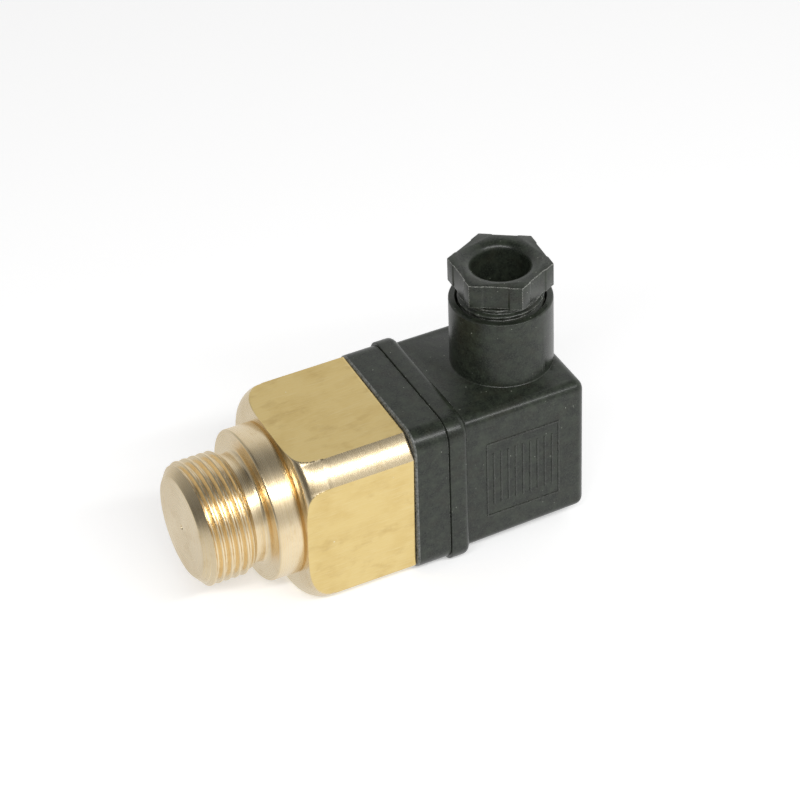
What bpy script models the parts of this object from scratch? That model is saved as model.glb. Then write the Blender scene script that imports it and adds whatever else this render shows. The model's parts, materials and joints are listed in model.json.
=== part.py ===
"""Pressure switch: brass screw-in body, snap-action switch inside, and a square cable socket with a gland.

Lengths are written in millimetres. Each object's scale turns its mesh into metres.
The port axis runs along X: the threaded port points to -X and the cable socket plugs on from +X.
The cable gland points to +Z. The origin is under the middle of the part, in the plane of the flange's
underside. Shapes are drawn from the datum, which is the centre of the collar's sealing face.
"""

import math

import bmesh
import bpy
from mathutils import Vector

MM = 0.001

# ---- driving dimensions ----------------------------------------------------------------------
# brass body
THREAD_RADIUS = 11.0        # M22 x 1.5
THREAD_PITCH = 1.5
THREAD_DEPTH = 0.92
PORT_END = -12.1
PORT_FACE_RADIUS = 9.0
GROOVE_START = -3.0
GROOVE_RADIUS = 9.75
COLLAR_RADIUS = 13.55
COLLAR_LENGTH = 4.8
BLOCK_HALF = 14.47          # half the size across the spanner flats
BLOCK_END = 25.0
CORNER_RADIUS = 19.1        # the block's corners are turned to this radius about the port axis
WIDE_CORNER_RADIUS = 18.1   # and the corner between the top and front flats a little deeper
NOSE_START = 14.93          # radius where the turned rounding in front of the flats begins
NOSE_LENGTH = 4.5
PINHOLE_RADIUS = 0.4
CHAMBER_RADIUS = 5.0
SEAT_START = 1.0            # shoulder that carries the diaphragm
SEAT_RADIUS = 8.2
CAVITY_START = 9.0
CAVITY_RADIUS = 12.4

# plug base, the black part screwed to the brass
JOINT_GAP = 0.12
BASE_HALF = 14.77
BASE_CORNER = 3.6
BASE_END = 31.4
BASE_CAVITY = 10.2
WEB_START = 28.8
SPIGOT_START = 22.2
SPIGOT_RADIUS = 12.2
PEDESTAL_HALF = 10.6
PEDESTAL_END = 33.4
BASE_SCREW_OFFSET = 10.75

# contacts on a circle around the middle screw
PIN_OFFSET = 9.0
PIN_WIDTH = 6.3
PIN_THICKNESS = 0.8

# cable socket
FLANGE_HALF = 15.16
FLANGE_END = 35.2
BOX_TOP = 13.92
BOX_SIDE = (13.62, 13.51)   # half width at the flange and at the end wall
BOX_BOTTOM = (13.90, 13.27)
BOX_CORNER = 1.9
BOX_END = 58.57
BOX_EDGE = 1.6              # rounding of the box's far edges
HOLLOW_HALF = 12.2
HOLLOW_END = 55.3

# cable gland
GLAND_X = 49.5
TUBE_RADIUS = 9.03
TUBE_RIM = 27.0
TUBE_BORE = 7.75
NUT_BOTTOM = 29.6
NUT_TOP = 34.05
NUT_CORNER = 9.11
NUT_TURN = math.radians(26.2)
GLAND_PITCH = 1.411         # 18 threads per inch

# the datum as seen from the origin
DATUM = (-(PORT_END + BOX_END) / 2, 0.0, FLANGE_HALF)

ROUND = 36                  # facets around a large round part
SMALL_ROUND = 20            # facets around a small round part

# body name: (parent body, point on its axis, from the datum)
PIVOTS = {
    "switch_body": (None, (0.0, 0.0, 0.0)),
    "piston_body": ("switch_body", (0.0, 0.0, 0.0)),
    "blade_body": ("switch_body", (24.9, 0.0, -4.8)),
    "spring_seat_body": ("switch_body", (0.0, 0.0, 0.0)),
    "adjuster_body": ("spring_seat_body", (0.0, 0.0, 0.0)),
    "socket_body": ("switch_body", (0.0, 0.0, 0.0)),
    "screw_washer_body": ("socket_body", (0.0, 0.0, 0.0)),
    "fixing_screw_body": ("screw_washer_body", (0.0, 0.0, 0.0)),
    "gland_washer_body": ("socket_body", (GLAND_X, 0.0, 0.0)),
    "gland_nut_body": ("gland_washer_body", (GLAND_X, 0.0, 0.0)),
}

# material name: (colour, roughness, metallic)
FINISHES = {
    "brass_turned": ((0.80, 0.62, 0.28), 0.30, 1.0),
    "brass_contact": ((0.78, 0.60, 0.27), 0.25, 1.0),
    "steel": ((0.62, 0.62, 0.63), 0.30, 1.0),
    "spring_steel": ((0.45, 0.45, 0.47), 0.25, 1.0),
    "tinned": ((0.72, 0.72, 0.70), 0.35, 1.0),
    "black_nylon": ((0.045, 0.050, 0.047), 0.45, 0.0),
    "grey_plastic": ((0.30, 0.31, 0.30), 0.45, 0.0),
    "red_plastic": ((0.35, 0.04, 0.03), 0.40, 0.0),
    "rubber": ((0.02, 0.02, 0.02), 0.75, 0.0),
    "film": ((0.62, 0.36, 0.10), 0.30, 0.0),
    "wire": ((0.10, 0.16, 0.40), 0.50, 0.0),
}


# ---- helpers -----------------------------------------------------------------------------------
def clear_scene():
    for old in list(bpy.data.objects):
        bpy.data.objects.remove(old, do_unlink=True)


def make_materials():
    made = {}
    for name, (colour, roughness, metallic) in FINISHES.items():
        material = bpy.data.materials.new(name)
        material.use_nodes = True
        shader = material.node_tree.nodes["Principled BSDF"]
        shader.inputs["Base Color"].default_value = (*colour, 1.0)
        shader.inputs["Roughness"].default_value = roughness
        shader.inputs["Metallic"].default_value = metallic
        material.diffuse_color = (*colour, 1.0)
        made[name] = material
    return made


def make_empties():
    made = {}
    for name, (parent, point) in PIVOTS.items():
        empty = bpy.data.objects.new(name, None)
        bpy.context.scene.collection.objects.link(empty)
        start = PIVOTS[parent][1] if parent else [-c for c in DATUM]
        empty.location = [(p - s) * MM for p, s in zip(point, start)]
        if parent:
            empty.parent = made[parent]
        made[name] = empty
    return made


def along_x(point, centre=(0.0, 0.0, 0.0)):
    """Turns a point whose own axis is w into one whose axis is X."""
    u, v, w = point
    return (centre[0] + w, centre[1] + u, centre[2] + v)


def along_z(point, centre=(0.0, 0.0, 0.0)):
    u, v, w = point
    return (centre[0] + u, centre[1] + v, centre[2] + w)


def skin(bm, rings, closed=False):
    """Joins rings of points into a closed surface. A ring of one point is a tip."""
    made = [[bm.verts.new(point) for point in ring] for ring in rings]
    pairs = list(zip(made, made[1:]))
    if closed:
        pairs.append((made[-1], made[0]))
    for first, second in pairs:
        count = max(len(first), len(second))
        for i in range(count):
            j = (i + 1) % count
            if len(first) == 1:
                bm.faces.new((first[0], second[i], second[j]))
            elif len(second) == 1:
                bm.faces.new((first[i], first[j], second[0]))
            else:
                bm.faces.new((first[i], first[j], second[j], second[i]))
    if not closed:
        for end in (made[0], made[-1]):
            if len(end) > 1:
                bm.faces.new(end)


def circle(radius, w, count=ROUND, phase=0.0):
    if radius == 0:
        return [(0.0, 0.0, w)]
    step = 2 * math.pi / count
    return [
        (radius * math.cos(phase + i * step), radius * math.sin(phase + i * step), w)
        for i in range(count)
    ]


def turned(bm, profile, place=along_x, centre=(0.0, 0.0, 0.0), count=ROUND):
    """A solid of revolution. profile is (distance along the axis, radius) from end to end."""
    rings = [[place(p, centre) for p in circle(r, w, count)] for w, r in profile]
    skin(bm, rings)


def sleeve(bm, profile, place=along_x, centre=(0.0, 0.0, 0.0), count=ROUND):
    """A ring-shaped solid of revolution. profile is the closed outline of its wall."""
    rings = [[place(p, centre) for p in circle(r, w, count)] for w, r in profile]
    skin(bm, rings, closed=True)


def ring_outline(low, high, inner, outer, chamfer=0.0):
    """The wall outline of a plain ring, with its outer edges chamfered."""
    if chamfer == 0:
        return [(low, inner), (low, outer), (high, outer), (high, inner)]
    return [
        (low, inner),
        (low, outer - chamfer),
        (low + chamfer, outer),
        (high - chamfer, outer),
        (high, outer - chamfer),
        (high, inner),
    ]


def rounded_rectangle(half_u, half_v, radius, w, steps=4):
    points = []
    corners = ((1, 1), (-1, 1), (-1, -1), (1, -1))
    for quarter, (sign_u, sign_v) in enumerate(corners):
        for i in range(steps + 1):
            angle = (quarter + i / steps) * math.pi / 2
            points.append(
                (
                    sign_u * (half_u - radius) + radius * math.cos(angle),
                    sign_v * (half_v - radius) + radius * math.sin(angle),
                    w,
                )
            )
    return points


def square_loft(bm, sections, steps=4):
    """A solid along X through rounded squares: (x, half size, corner radius)."""
    rings = []
    for x, half, radius in sections:
        rings.append([along_x(p) for p in rounded_rectangle(half, half, radius, x, steps)])
    skin(bm, rings)


def block(bm, low, high):
    """A plain rectangular solid between two corners."""
    centre = [(a + b) / 2 for a, b in zip(low, high)]
    half = [(b - a) / 2 for a, b in zip(low, high)]
    ring = ((1, 1), (-1, 1), (-1, -1), (1, -1))
    rings = []
    for w in (low[2], high[2]):
        rings.append([(centre[0] + u * half[0], centre[1] + v * half[1], w) for u, v in ring])
    skin(bm, rings)


def rod_along(bm, points, radius, count=8):
    """A round bar that follows a list of points."""
    path = [Vector(p) for p in points]
    rings = []
    side = None
    for i, here in enumerate(path):
        before = path[max(i - 1, 0)]
        after = path[min(i + 1, len(path) - 1)]
        ahead = (after - before).normalized()
        if side is None:
            side = ahead.orthogonal().normalized()
        side = (side - ahead * side.dot(ahead)).normalized()
        up = ahead.cross(side)
        ring = []
        for k in range(count):
            angle = 2 * math.pi * k / count
            ring.append(here + (side * math.cos(angle) + up * math.sin(angle)) * radius)
        rings.append(ring)
    skin(bm, rings)


def arc_sections(x, half, corner, edge, steps=5):
    """Sections that round off the far edge of a square box ending at x."""
    sections = []
    for i in range(steps + 1):
        angle = math.pi / 2 * i / steps
        inset = edge * (1 - math.cos(angle))
        sections.append((x - edge + edge * math.sin(angle), half - inset, corner - inset))
    return sections


class Workshop:
    """Holds the materials and the bodies, and makes objects in them."""

    def __init__(self):
        clear_scene()
        self.materials = make_materials()
        self.empties = make_empties()
        self.cutters = 0

    def solid(self, name, body, finish, bm):
        obj = self.link(name, bm, PIVOTS[body][1])
        obj.parent = self.empties[body]
        obj.data.materials.append(self.materials[finish])
        return obj

    def link(self, name, bm, origin=(0.0, 0.0, 0.0)):
        bmesh.ops.triangulate(bm, faces=bm.faces[:])
        bmesh.ops.recalc_face_normals(bm, faces=bm.faces)
        for vertex in bm.verts:
            vertex.co = [c - o for c, o in zip(vertex.co, origin)]
        mesh = bpy.data.meshes.new(name)
        bm.to_mesh(mesh)
        bm.free()
        mesh.shade_smooth()
        mesh.set_sharp_from_angle(angle=math.radians(32))
        obj = bpy.data.objects.new(name, mesh)
        obj.scale = (MM, MM, MM)
        bpy.context.scene.collection.objects.link(obj)
        return obj

    def shape(self, obj, operation, bm):
        """Cuts, joins or trims obj with the shapes in bm."""
        self.cutters += 1
        tool = self.link(f"tool_{self.cutters:02d}", bm)
        tool.parent = self.empties["switch_body"]
        tool.hide_render = True
        tool.display_type = "WIRE"
        modifier = obj.modifiers.new(operation.lower(), "BOOLEAN")
        modifier.operation = operation
        modifier.solver = "EXACT"
        modifier.object = tool

    def cut(self, obj, bm):
        self.shape(obj, "DIFFERENCE", bm)

    def join(self, obj, bm):
        self.shape(obj, "UNION", bm)

    def trim(self, obj, bm):
        self.shape(obj, "INTERSECT", bm)


# ---- brass body --------------------------------------------------------------------------------
def thread_point(turn_share, index, per_pitch):
    """Distance along the port and radius of one thread vertex on the helix."""
    corners = ((0.0, 1), (0.34, 1), (0.5, 0), (0.84, 0))
    share, outer = corners[index % per_pitch]
    x = PORT_END + 0.15 + THREAD_PITCH * (index // per_pitch + share + turn_share)
    crest = THREAD_RADIUS
    root = THREAD_RADIUS - THREAD_DEPTH
    radius = crest if outer else root
    chamfer = PORT_FACE_RADIUS + (x - PORT_END) * 1.15
    if x > GROOVE_START:
        return x, GROOVE_RADIUS
    return x, min(radius, chamfer)


def threaded_neck(bm):
    """The port from its end face to the collar, with a right-hand helical thread."""
    per_pitch = 4
    total = int((GROOVE_START - PORT_END) / THREAD_PITCH) * per_pitch + 2
    front, columns, back = [], [], []
    back_outline = [(-0.95, GROOVE_RADIUS), (-0.35, 9.95), (0.0, 10.4)]
    back_outline += collar_outline()
    for i in range(ROUND):
        angle = 2 * math.pi * i / ROUND
        cos, sin = math.cos(angle), math.sin(angle)
        front.append(bm.verts.new((PORT_END, PORT_FACE_RADIUS * cos, PORT_FACE_RADIUS * sin)))
        column = []
        for k in range(total):
            x, radius = thread_point(i / ROUND, k, per_pitch)
            column.append(bm.verts.new((x, radius * cos, radius * sin)))
        columns.append(column)
        back.append([bm.verts.new((x, r * cos, r * sin)) for x, r in back_outline])
    bm.faces.new(front)
    bm.faces.new([line[-1] for line in back])
    for i in range(ROUND):
        j = (i + 1) % ROUND
        shift = per_pitch if j == 0 else 0
        here, there = columns[i], columns[j]
        bm.faces.new([front[i], here[0]] + [there[k] for k in range(shift, -1, -1)] + [front[j]])
        for k in range(total - 1 - shift):
            quad = (here[k], here[k + 1], there[k + 1 + shift], there[k + shift])
            bm.faces.new(quad)
        tail = here[total - 1 - shift:]
        bm.faces.new(tail + [back[i][0], back[j][0], there[-1]])
        for k in range(len(back_outline) - 1):
            bm.faces.new((back[i][k], back[i][k + 1], back[j][k + 1], back[j][k]))


def collar_outline():
    edge = 0.45
    return [
        (0.0, COLLAR_RADIUS - edge),
        (edge, COLLAR_RADIUS),
        (COLLAR_LENGTH - 0.2, COLLAR_RADIUS),
        (COLLAR_LENGTH + 1.5, COLLAR_RADIUS - 0.6),
    ]


def nose_profile():
    """The turned envelope of the block: a round shoulder, then the radius of the corners."""
    profile = [(COLLAR_LENGTH, 0.0)]
    steps = 7
    for i in range(steps + 1):
        angle = math.pi / 2 * i / steps
        x = COLLAR_LENGTH + NOSE_LENGTH * (1 - math.cos(angle))
        profile.append((x, NOSE_START + (CORNER_RADIUS - NOSE_START) * math.sin(angle)))
    profile += [(BLOCK_END + 2, CORNER_RADIUS), (BLOCK_END + 2, 0.0)]
    return profile


def block_ring(x):
    """Square section of the block, with the corner between the top and front flats rounded off."""
    edge = math.acos(BLOCK_HALF / WIDE_CORNER_RADIUS)
    points = [(BLOCK_HALF, -BLOCK_HALF), (BLOCK_HALF, BLOCK_HALF)]
    steps = 4
    for i in range(steps + 1):
        angle = math.pi / 2 + edge + (math.pi / 2 - 2 * edge) * i / steps
        points.append((WIDE_CORNER_RADIUS * math.cos(angle), WIDE_CORNER_RADIUS * math.sin(angle)))
    points.append((-BLOCK_HALF, -BLOCK_HALF))
    return [along_x((y, z, x)) for y, z in points]


def base_screw_places():
    return [(sy * BASE_SCREW_OFFSET, sz * BASE_SCREW_OFFSET) for sy in (-1, 1) for sz in (-1, 1)]


def make_brass_body(shop):
    bm = bmesh.new()
    skin(bm, [block_ring(COLLAR_LENGTH), block_ring(BLOCK_END)])
    body = shop.solid("brass_body", "switch_body", "brass_turned", bm)
    nose = bmesh.new()
    turned(nose, nose_profile(), count=64)
    shop.trim(body, nose)
    neck = bmesh.new()
    threaded_neck(neck)
    shop.join(body, neck)
    bore = bmesh.new()
    turned(
        bore,
        [
            (PORT_END - 1, 0.0),
            (PORT_END - 1, PINHOLE_RADIUS),
            (PORT_END + 2.5, PINHOLE_RADIUS),
            (PORT_END + 2.5, CHAMBER_RADIUS),
            (SEAT_START, CHAMBER_RADIUS),
            (SEAT_START, SEAT_RADIUS),
            (CAVITY_START, SEAT_RADIUS),
            (CAVITY_START, CAVITY_RADIUS),
            (BLOCK_END + 1, CAVITY_RADIUS),
            (BLOCK_END + 1, 0.0),
        ],
    )
    for y, z in base_screw_places():
        turned(bore, [(17.5, 0.0), (18.2, 1.3), (BLOCK_END + 1, 1.3), (BLOCK_END + 1, 0.0)],
               centre=(0.0, y, z), count=12)
    shop.cut(body, bore)


# ---- pressure side -----------------------------------------------------------------------------
def make_diaphragm(shop):
    bm = bmesh.new()
    turned(
        bm,
        [(1.1, 0.0), (1.1, 8.0), (1.7, 8.0), (1.7, 6.6), (2.0, 6.2), (2.0, 5.4), (1.7, 5.0), (1.7, 0.0)],
        count=28,
    )
    shop.solid("diaphragm", "switch_body", "film", bm)


def make_guide_bush(shop):
    """Clamps the diaphragm's rim and guides the piston."""
    bm = bmesh.new()
    outline = [(1.8, 6.9), (1.8, 8.0), (8.6, 8.0), (8.9, 7.7), (8.9, 3.15), (3.1, 3.15), (3.1, 6.9)]
    sleeve(bm, outline, count=28)
    bush = shop.solid("guide_bush", "switch_body", "steel", bm)
    holes = bmesh.new()
    for y in (-5.6, 5.6):
        turned(holes, [(6.9, 0.0), (6.9, 0.8), (9.5, 0.8), (9.5, 0.0)], centre=(0, y, 0), count=12)
    shop.cut(bush, holes)


def make_piston(shop):
    bm = bmesh.new()
    turned(
        bm,
        [
            (2.1, 0.0), (2.1, 4.6), (2.4, 4.6), (2.4, 3.0), (9.5, 3.0), (9.5, 7.4), (10.7, 7.4),
            (10.7, 4.0), (12.6, 4.0), (12.9, 3.7), (12.9, 1.35), (11.0, 1.35), (11.0, 0.0),
        ],
        count=28,
    )
    shop.solid("piston", "piston_body", "steel", bm)


def make_push_rod(shop):
    bm = bmesh.new()
    turned(bm, [(11.1, 0.0), (11.1, 1.2), (20.8, 1.2), (21.1, 0.9), (21.1, 0.0)], count=16)
    shop.solid("push_rod", "piston_body", "spring_steel", bm)


def make_range_spring(shop):
    wire, coil_radius = 0.6, 5.7
    end_turns, active_turns, end_pitch = 1.0, 1.5, 1.27
    start = 10.8 + wire
    rise = 17.6 - wire - start
    active_pitch = (rise - 2 * end_turns * end_pitch) / active_turns
    per_turn = 16
    count = int((2 * end_turns + active_turns) * per_turn)
    points = []
    for i in range(count + 1):
        turn = i / per_turn
        ends = min(turn, end_turns) + max(turn - end_turns - active_turns, 0.0)
        middle = min(max(turn - end_turns, 0.0), active_turns)
        x = start + ends * end_pitch + middle * active_pitch
        angle = 2 * math.pi * turn
        points.append((x, coil_radius * math.cos(angle), coil_radius * math.sin(angle)))
    bm = bmesh.new()
    rod_along(bm, points, wire, 6)
    shop.solid("range_spring", "switch_body", "spring_steel", bm)


def make_spring_seat(shop):
    bm = bmesh.new()
    outline = [(17.7, 4.3), (17.7, 7.4), (18.5, 7.4), (18.5, 2.0), (17.0, 2.0), (17.0, 4.3)]
    sleeve(bm, outline, count=32)
    shop.solid("upper_spring_seat", "spring_seat_body", "steel", bm)


def make_adjusting_ring(shop):
    """Threaded ring that sets the spring's preload. Its thread is shown as rings."""
    low, high, inner, outer, pitch = 18.65, 20.9, 1.5, 12.25, 0.75
    outline = [(low, inner)]
    for k in range(3):
        outline += [(low + pitch * k, outer - 0.5), (low + pitch * (k + 0.5), outer)]
    outline += [(high, outer - 0.5), (high, inner)]
    bm = bmesh.new()
    sleeve(bm, outline, count=40)
    ring = shop.solid("adjusting_ring", "adjuster_body", "brass_contact", bm)
    slots = bmesh.new()
    for y0, y1 in ((-10.4, -4.4), (4.4, 10.4)):
        block(slots, (19.9, y0, -0.8), (21.5, y1, 0.8))
    shop.cut(ring, slots)


# ---- snap switch -------------------------------------------------------------------------------
CASE_X = (21.9, 27.5)
CASE_Y = (-3.2, 2.4)
CASE_HALF_Z = 6.6
CASE_WALL = 0.6


def make_switch_case(shop):
    bm = bmesh.new()
    block(bm, (CASE_X[0], CASE_Y[0], -CASE_HALF_Z), (CASE_X[1], CASE_Y[1], CASE_HALF_Z))
    case = shop.solid("switch_case", "switch_body", "red_plastic", bm)
    inside = bmesh.new()
    block(
        inside,
        (CASE_X[0] + CASE_WALL, CASE_Y[0] + CASE_WALL, -CASE_HALF_Z + 0.8),
        (CASE_X[1] - 0.5, CASE_Y[1] + 1, CASE_HALF_Z - 0.8),
    )
    shop.cut(case, inside)
    slots = bmesh.new()
    block(slots, (25.0, -1.4, -7.5), (25.7, 1.4, -5.0))
    block(slots, (23.5, -1.4, 5.0), (24.2, 1.4, 7.5))
    block(slots, (26.4, -1.4, 5.0), (26.97, 1.4, 7.5))
    turned(slots, [(21.0, 0.0), (21.0, 1.05), (23.0, 1.05), (23.0, 0.0)], count=16)
    shop.cut(case, slots)


def make_switch_cover(shop):
    bm = bmesh.new()
    block(bm, (CASE_X[0], CASE_Y[1] + 0.1, -CASE_HALF_Z), (CASE_X[1], CASE_Y[1] + 0.8, CASE_HALF_Z))
    shop.solid("switch_cover", "switch_body", "grey_plastic", bm)


def make_switch_plunger(shop):
    bm = bmesh.new()
    turned(
        bm,
        [(21.2, 0.0), (21.2, 0.7), (21.4, 0.9), (22.7, 0.9), (22.7, 1.5), (23.2, 1.5), (23.2, 0.9),
         (24.4, 0.9), (24.6, 0.6), (24.6, 0.0)],
        count=16,
    )
    shop.solid("switch_plunger", "piston_body", "grey_plastic", bm)


def make_snap_blade(shop):
    bm = bmesh.new()
    block(bm, (24.75, -1.7, -5.1), (25.0, 1.7, 4.9))
    blade = shop.solid("snap_blade", "blade_body", "spring_steel", bm)
    window = bmesh.new()
    block(window, (24.0, -0.9, 0.9), (26.0, 0.9, 2.9))
    block(window, (24.0, -0.9, -3.6), (26.0, 0.9, -1.1))
    shop.cut(blade, window)
    bead = bmesh.new()
    turned(bead, [(24.4, 0.0), (24.4, 0.6), (25.35, 0.6), (25.35, 0.0)], centre=(0, 0, 4.0), count=12)
    shop.join(blade, bead)


def make_contact_strip(shop, name, x_range, z_range, bead=None):
    """A switch terminal: a flat strip through the case, with a contact bead if it has one."""
    bm = bmesh.new()
    block(bm, (x_range[0], -1.2, z_range[0]), (x_range[1], 1.2, z_range[1]))
    strip = shop.solid(name, "switch_body", "brass_contact", bm)
    if bead:
        extra = bmesh.new()
        turned(extra, [(bead[0], 0.0), (bead[0], 0.6), (bead[1], 0.6), (bead[1], 0.0)],
               centre=(0, 0, 4.0), count=12)
        shop.join(strip, extra)


def make_snap_switch(shop):
    make_switch_case(shop)
    make_switch_cover(shop)
    make_switch_plunger(shop)
    make_snap_blade(shop)
    make_contact_strip(shop, "common_terminal", (25.1, 25.6), (-8.0, -4.3))
    make_contact_strip(shop, "closed_contact", (23.6, 24.1), (3.2, 8.0), (23.9, 24.34))
    make_contact_strip(shop, "open_contact", (26.5, 26.9), (3.2, 8.0), (26.3, 26.7))


# ---- plug base ---------------------------------------------------------------------------------
def pin_places():
    """Where each flat contact stands: (name, y, z, True where its width runs along Y)."""
    return (
        ("contact_pin_1", 0.0, -PIN_OFFSET, True),
        ("contact_pin_2", 0.0, PIN_OFFSET, True),
        ("contact_pin_3", PIN_OFFSET, 0.0, False),
        ("earth_pin", -PIN_OFFSET, 0.0, False),
    )


def flat_bar(bm, x0, x1, y, z, wide_y, width, thickness):
    half_y = width / 2 if wide_y else thickness / 2
    half_z = thickness / 2 if wide_y else width / 2
    block(bm, (x0, y - half_y, z - half_z), (x1, y + half_y, z + half_z))


def make_plug_base(shop):
    front = BLOCK_END + JOINT_GAP
    bevel = 0.6
    sections = [
        (front, BASE_HALF - bevel, BASE_CORNER - bevel),
        (front + bevel, BASE_HALF, BASE_CORNER),
        (BASE_END - 0.1, BASE_HALF, BASE_CORNER),
        (BASE_END, BASE_HALF - 0.1, BASE_CORNER - 0.1),
    ]
    bm = bmesh.new()
    square_loft(bm, sections)
    base = shop.solid("plug_base", "switch_body", "black_nylon", bm)
    more = bmesh.new()
    spigot = [(SPIGOT_START, 0.0), (SPIGOT_START, SPIGOT_RADIUS), (22.9, SPIGOT_RADIUS), (22.9, 11.2),
              (24.3, 11.2), (24.3, SPIGOT_RADIUS), (26.0, SPIGOT_RADIUS), (26.0, 0.0)]
    turned(more, spigot)
    shop.join(base, more)
    pedestal = bmesh.new()
    square_loft(pedestal, [(30.0, PEDESTAL_HALF, 6.2), (PEDESTAL_END, PEDESTAL_HALF, 6.2)])
    shop.join(base, pedestal)
    hollow = bmesh.new()
    turned(hollow, [(20.0, 0.0), (20.0, BASE_CAVITY), (WEB_START, BASE_CAVITY), (WEB_START, 0.0)])
    shop.cut(base, hollow)
    ribs = bmesh.new()
    for y0, y1 in ((-4.5, -3.4), (3.4, 4.5)):
        block(ribs, (24.4, y0, -5.0), (WEB_START + 0.5, y1, 5.0))
    shop.join(base, ribs)
    holes = bmesh.new()
    turned(holes, [(WEB_START - 1, 0.0), (WEB_START - 1, 1.6), (29.6, 1.6), (29.6, 2.7),
                   (PEDESTAL_END + 1, 2.7), (PEDESTAL_END + 1, 0.0)], count=SMALL_ROUND)
    for y, z in base_screw_places():
        turned(holes, [(24.0, 0.0), (24.0, 1.45), (29.4, 1.45), (29.4, 2.5), (BASE_END + 0.2, 2.5),
                       (BASE_END + 0.2, 0.0)], centre=(0, y, z), count=16)
    for _, y, z, wide_y in pin_places():
        flat_bar(holes, WEB_START - 1, PEDESTAL_END + 1, y, z, wide_y, PIN_WIDTH + 0.1, PIN_THICKNESS + 0.1)
    shop.cut(base, holes)


def make_base_seal(shop):
    bm = bmesh.new()
    outline = []
    sides = 8
    for i in range(sides):
        angle = 2 * math.pi * i / sides
        outline.append((23.6 + 0.5 * math.cos(angle), 11.78 + 0.5 * math.sin(angle)))
    sleeve(bm, outline, count=32)
    shop.solid("base_seal", "switch_body", "rubber", bm)


def screw_profile(tip, under_head, top, shank, head):
    edge = 0.3
    return [(tip, 0.0), (tip, shank - edge), (tip + edge, shank), (under_head, shank),
            (under_head, head), (top - edge, head), (top, head - edge), (top, 0.0)]


def make_screw(shop, name, body, finish, sizes, centre=(0.0, 0.0, 0.0), slot=0.6, depth=0.8):
    """A slotted screw along X. sizes: tip, underside of the head, top, shank and head radius."""
    bm = bmesh.new()
    turned(bm, screw_profile(*sizes), centre=centre, count=SMALL_ROUND)
    screw = shop.solid(name, body, finish, bm)
    top, head = sizes[2], sizes[4]
    groove = bmesh.new()
    block(
        groove,
        (top - depth, centre[1] - slot / 2, centre[2] - head - 1),
        (top + 1, centre[1] + slot / 2, centre[2] + head + 1),
    )
    shop.cut(screw, groove)


def make_base_screws(shop):
    for number, (y, z) in enumerate(base_screw_places(), 1):
        sizes = (18.6, 29.6, 31.1, 1.2, 2.2)
        make_screw(shop, f"base_screw_{number}", "switch_body", "steel", sizes, (0.0, y, z))


def make_pins(shop):
    for name, y, z, wide_y in pin_places():
        tip = 41.6
        bm = bmesh.new()
        flat_bar(bm, 26.4, tip, y, z, wide_y, PIN_WIDTH, PIN_THICKNESS)
        pin = shop.solid(name, "switch_body", "tinned", bm)
        bevel = pin.modifiers.new("edges", "BEVEL")
        bevel.width = 0.15
        bevel.segments = 1


def make_nut_insert(shop):
    bm = bmesh.new()
    sleeve(bm, ring_outline(29.7, 33.2, 1.55, 2.6, 0.2), count=SMALL_ROUND)
    shop.solid("nut_insert", "switch_body", "brass_contact", bm)


def make_leads(shop):
    """Short insulated wires from the switch terminals to the contact pins."""
    routes = {
        "common_lead": [(26.0, 0.0, -7.5), (26.7, 0.0, -7.3), (27.4, 0.0, -7.5), (27.9, 0.0, -8.15)],
        "open_lead": [(27.3, 0.6, 7.5), (27.7, 0.4, 7.4), (28.0, 0.2, 7.6), (28.1, 0.0, 8.15)],
        "closed_lead": [(24.5, 1.9, 7.6), (24.6, 4.0, 7.2), (25.0, 6.2, 5.6), (25.8, 7.4, 3.6),
                        (26.8, 7.7, 2.0), (27.4, 8.2, 1.2)],
    }
    for name, points in routes.items():
        bm = bmesh.new()
        rod_along(bm, points, 0.35, 8)
        shop.solid(name, "switch_body", "wire", bm)


# ---- cable socket ------------------------------------------------------------------------------
def flange_rings():
    front = BASE_END + JOINT_GAP
    small = 0.25
    sections = [
        (front, FLANGE_HALF - small, BASE_CORNER - small),
        (front + small, FLANGE_HALF, BASE_CORNER),
    ]
    for x, half, corner in arc_sections(FLANGE_END, FLANGE_HALF, BASE_CORNER, 1.2, 4):
        sections.append((x, half, corner))
    return [[along_x(p) for p in rounded_rectangle(half, half, corner, x)] for x, half, corner in sections]


def box_ring(x, inset):
    """Outline of the box at x, drawn in by inset. Its side walls and its bottom taper."""
    share = (x - FLANGE_END) / (BOX_END - FLANGE_END)
    side = BOX_SIDE[0] + (BOX_SIDE[1] - BOX_SIDE[0]) * share - inset
    bottom = BOX_BOTTOM[0] + (BOX_BOTTOM[1] - BOX_BOTTOM[0]) * share - inset
    top = BOX_TOP - inset
    middle = (0.0, 0.0, (top - bottom) / 2)
    return [along_x(p, middle) for p in rounded_rectangle(side, (top + bottom) / 2, BOX_CORNER - inset, x)]


def housing_rings():
    rings = flange_rings()
    rings.append(box_ring(FLANGE_END, 0.0))
    steps = 4
    for i in range(steps + 1):
        angle = math.pi / 2 * i / steps
        rings.append(box_ring(BOX_END - BOX_EDGE * (1 - math.sin(angle)), BOX_EDGE * (1 - math.cos(angle))))
    return rings


def tube_profile():
    """The gland tube's outside. Its foot runs out on the box's end wall."""
    flush = BOX_END - GLAND_X - 0.2
    return [(6.4, 0.0), (6.4, flush), (9.2, TUBE_RADIUS + 0.03), (TUBE_RIM - 0.45, TUBE_RADIUS),
            (TUBE_RIM - 0.1, TUBE_RADIUS - 0.12), (TUBE_RIM, TUBE_RADIUS - 0.4), (TUBE_RIM, 0.0)]


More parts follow.
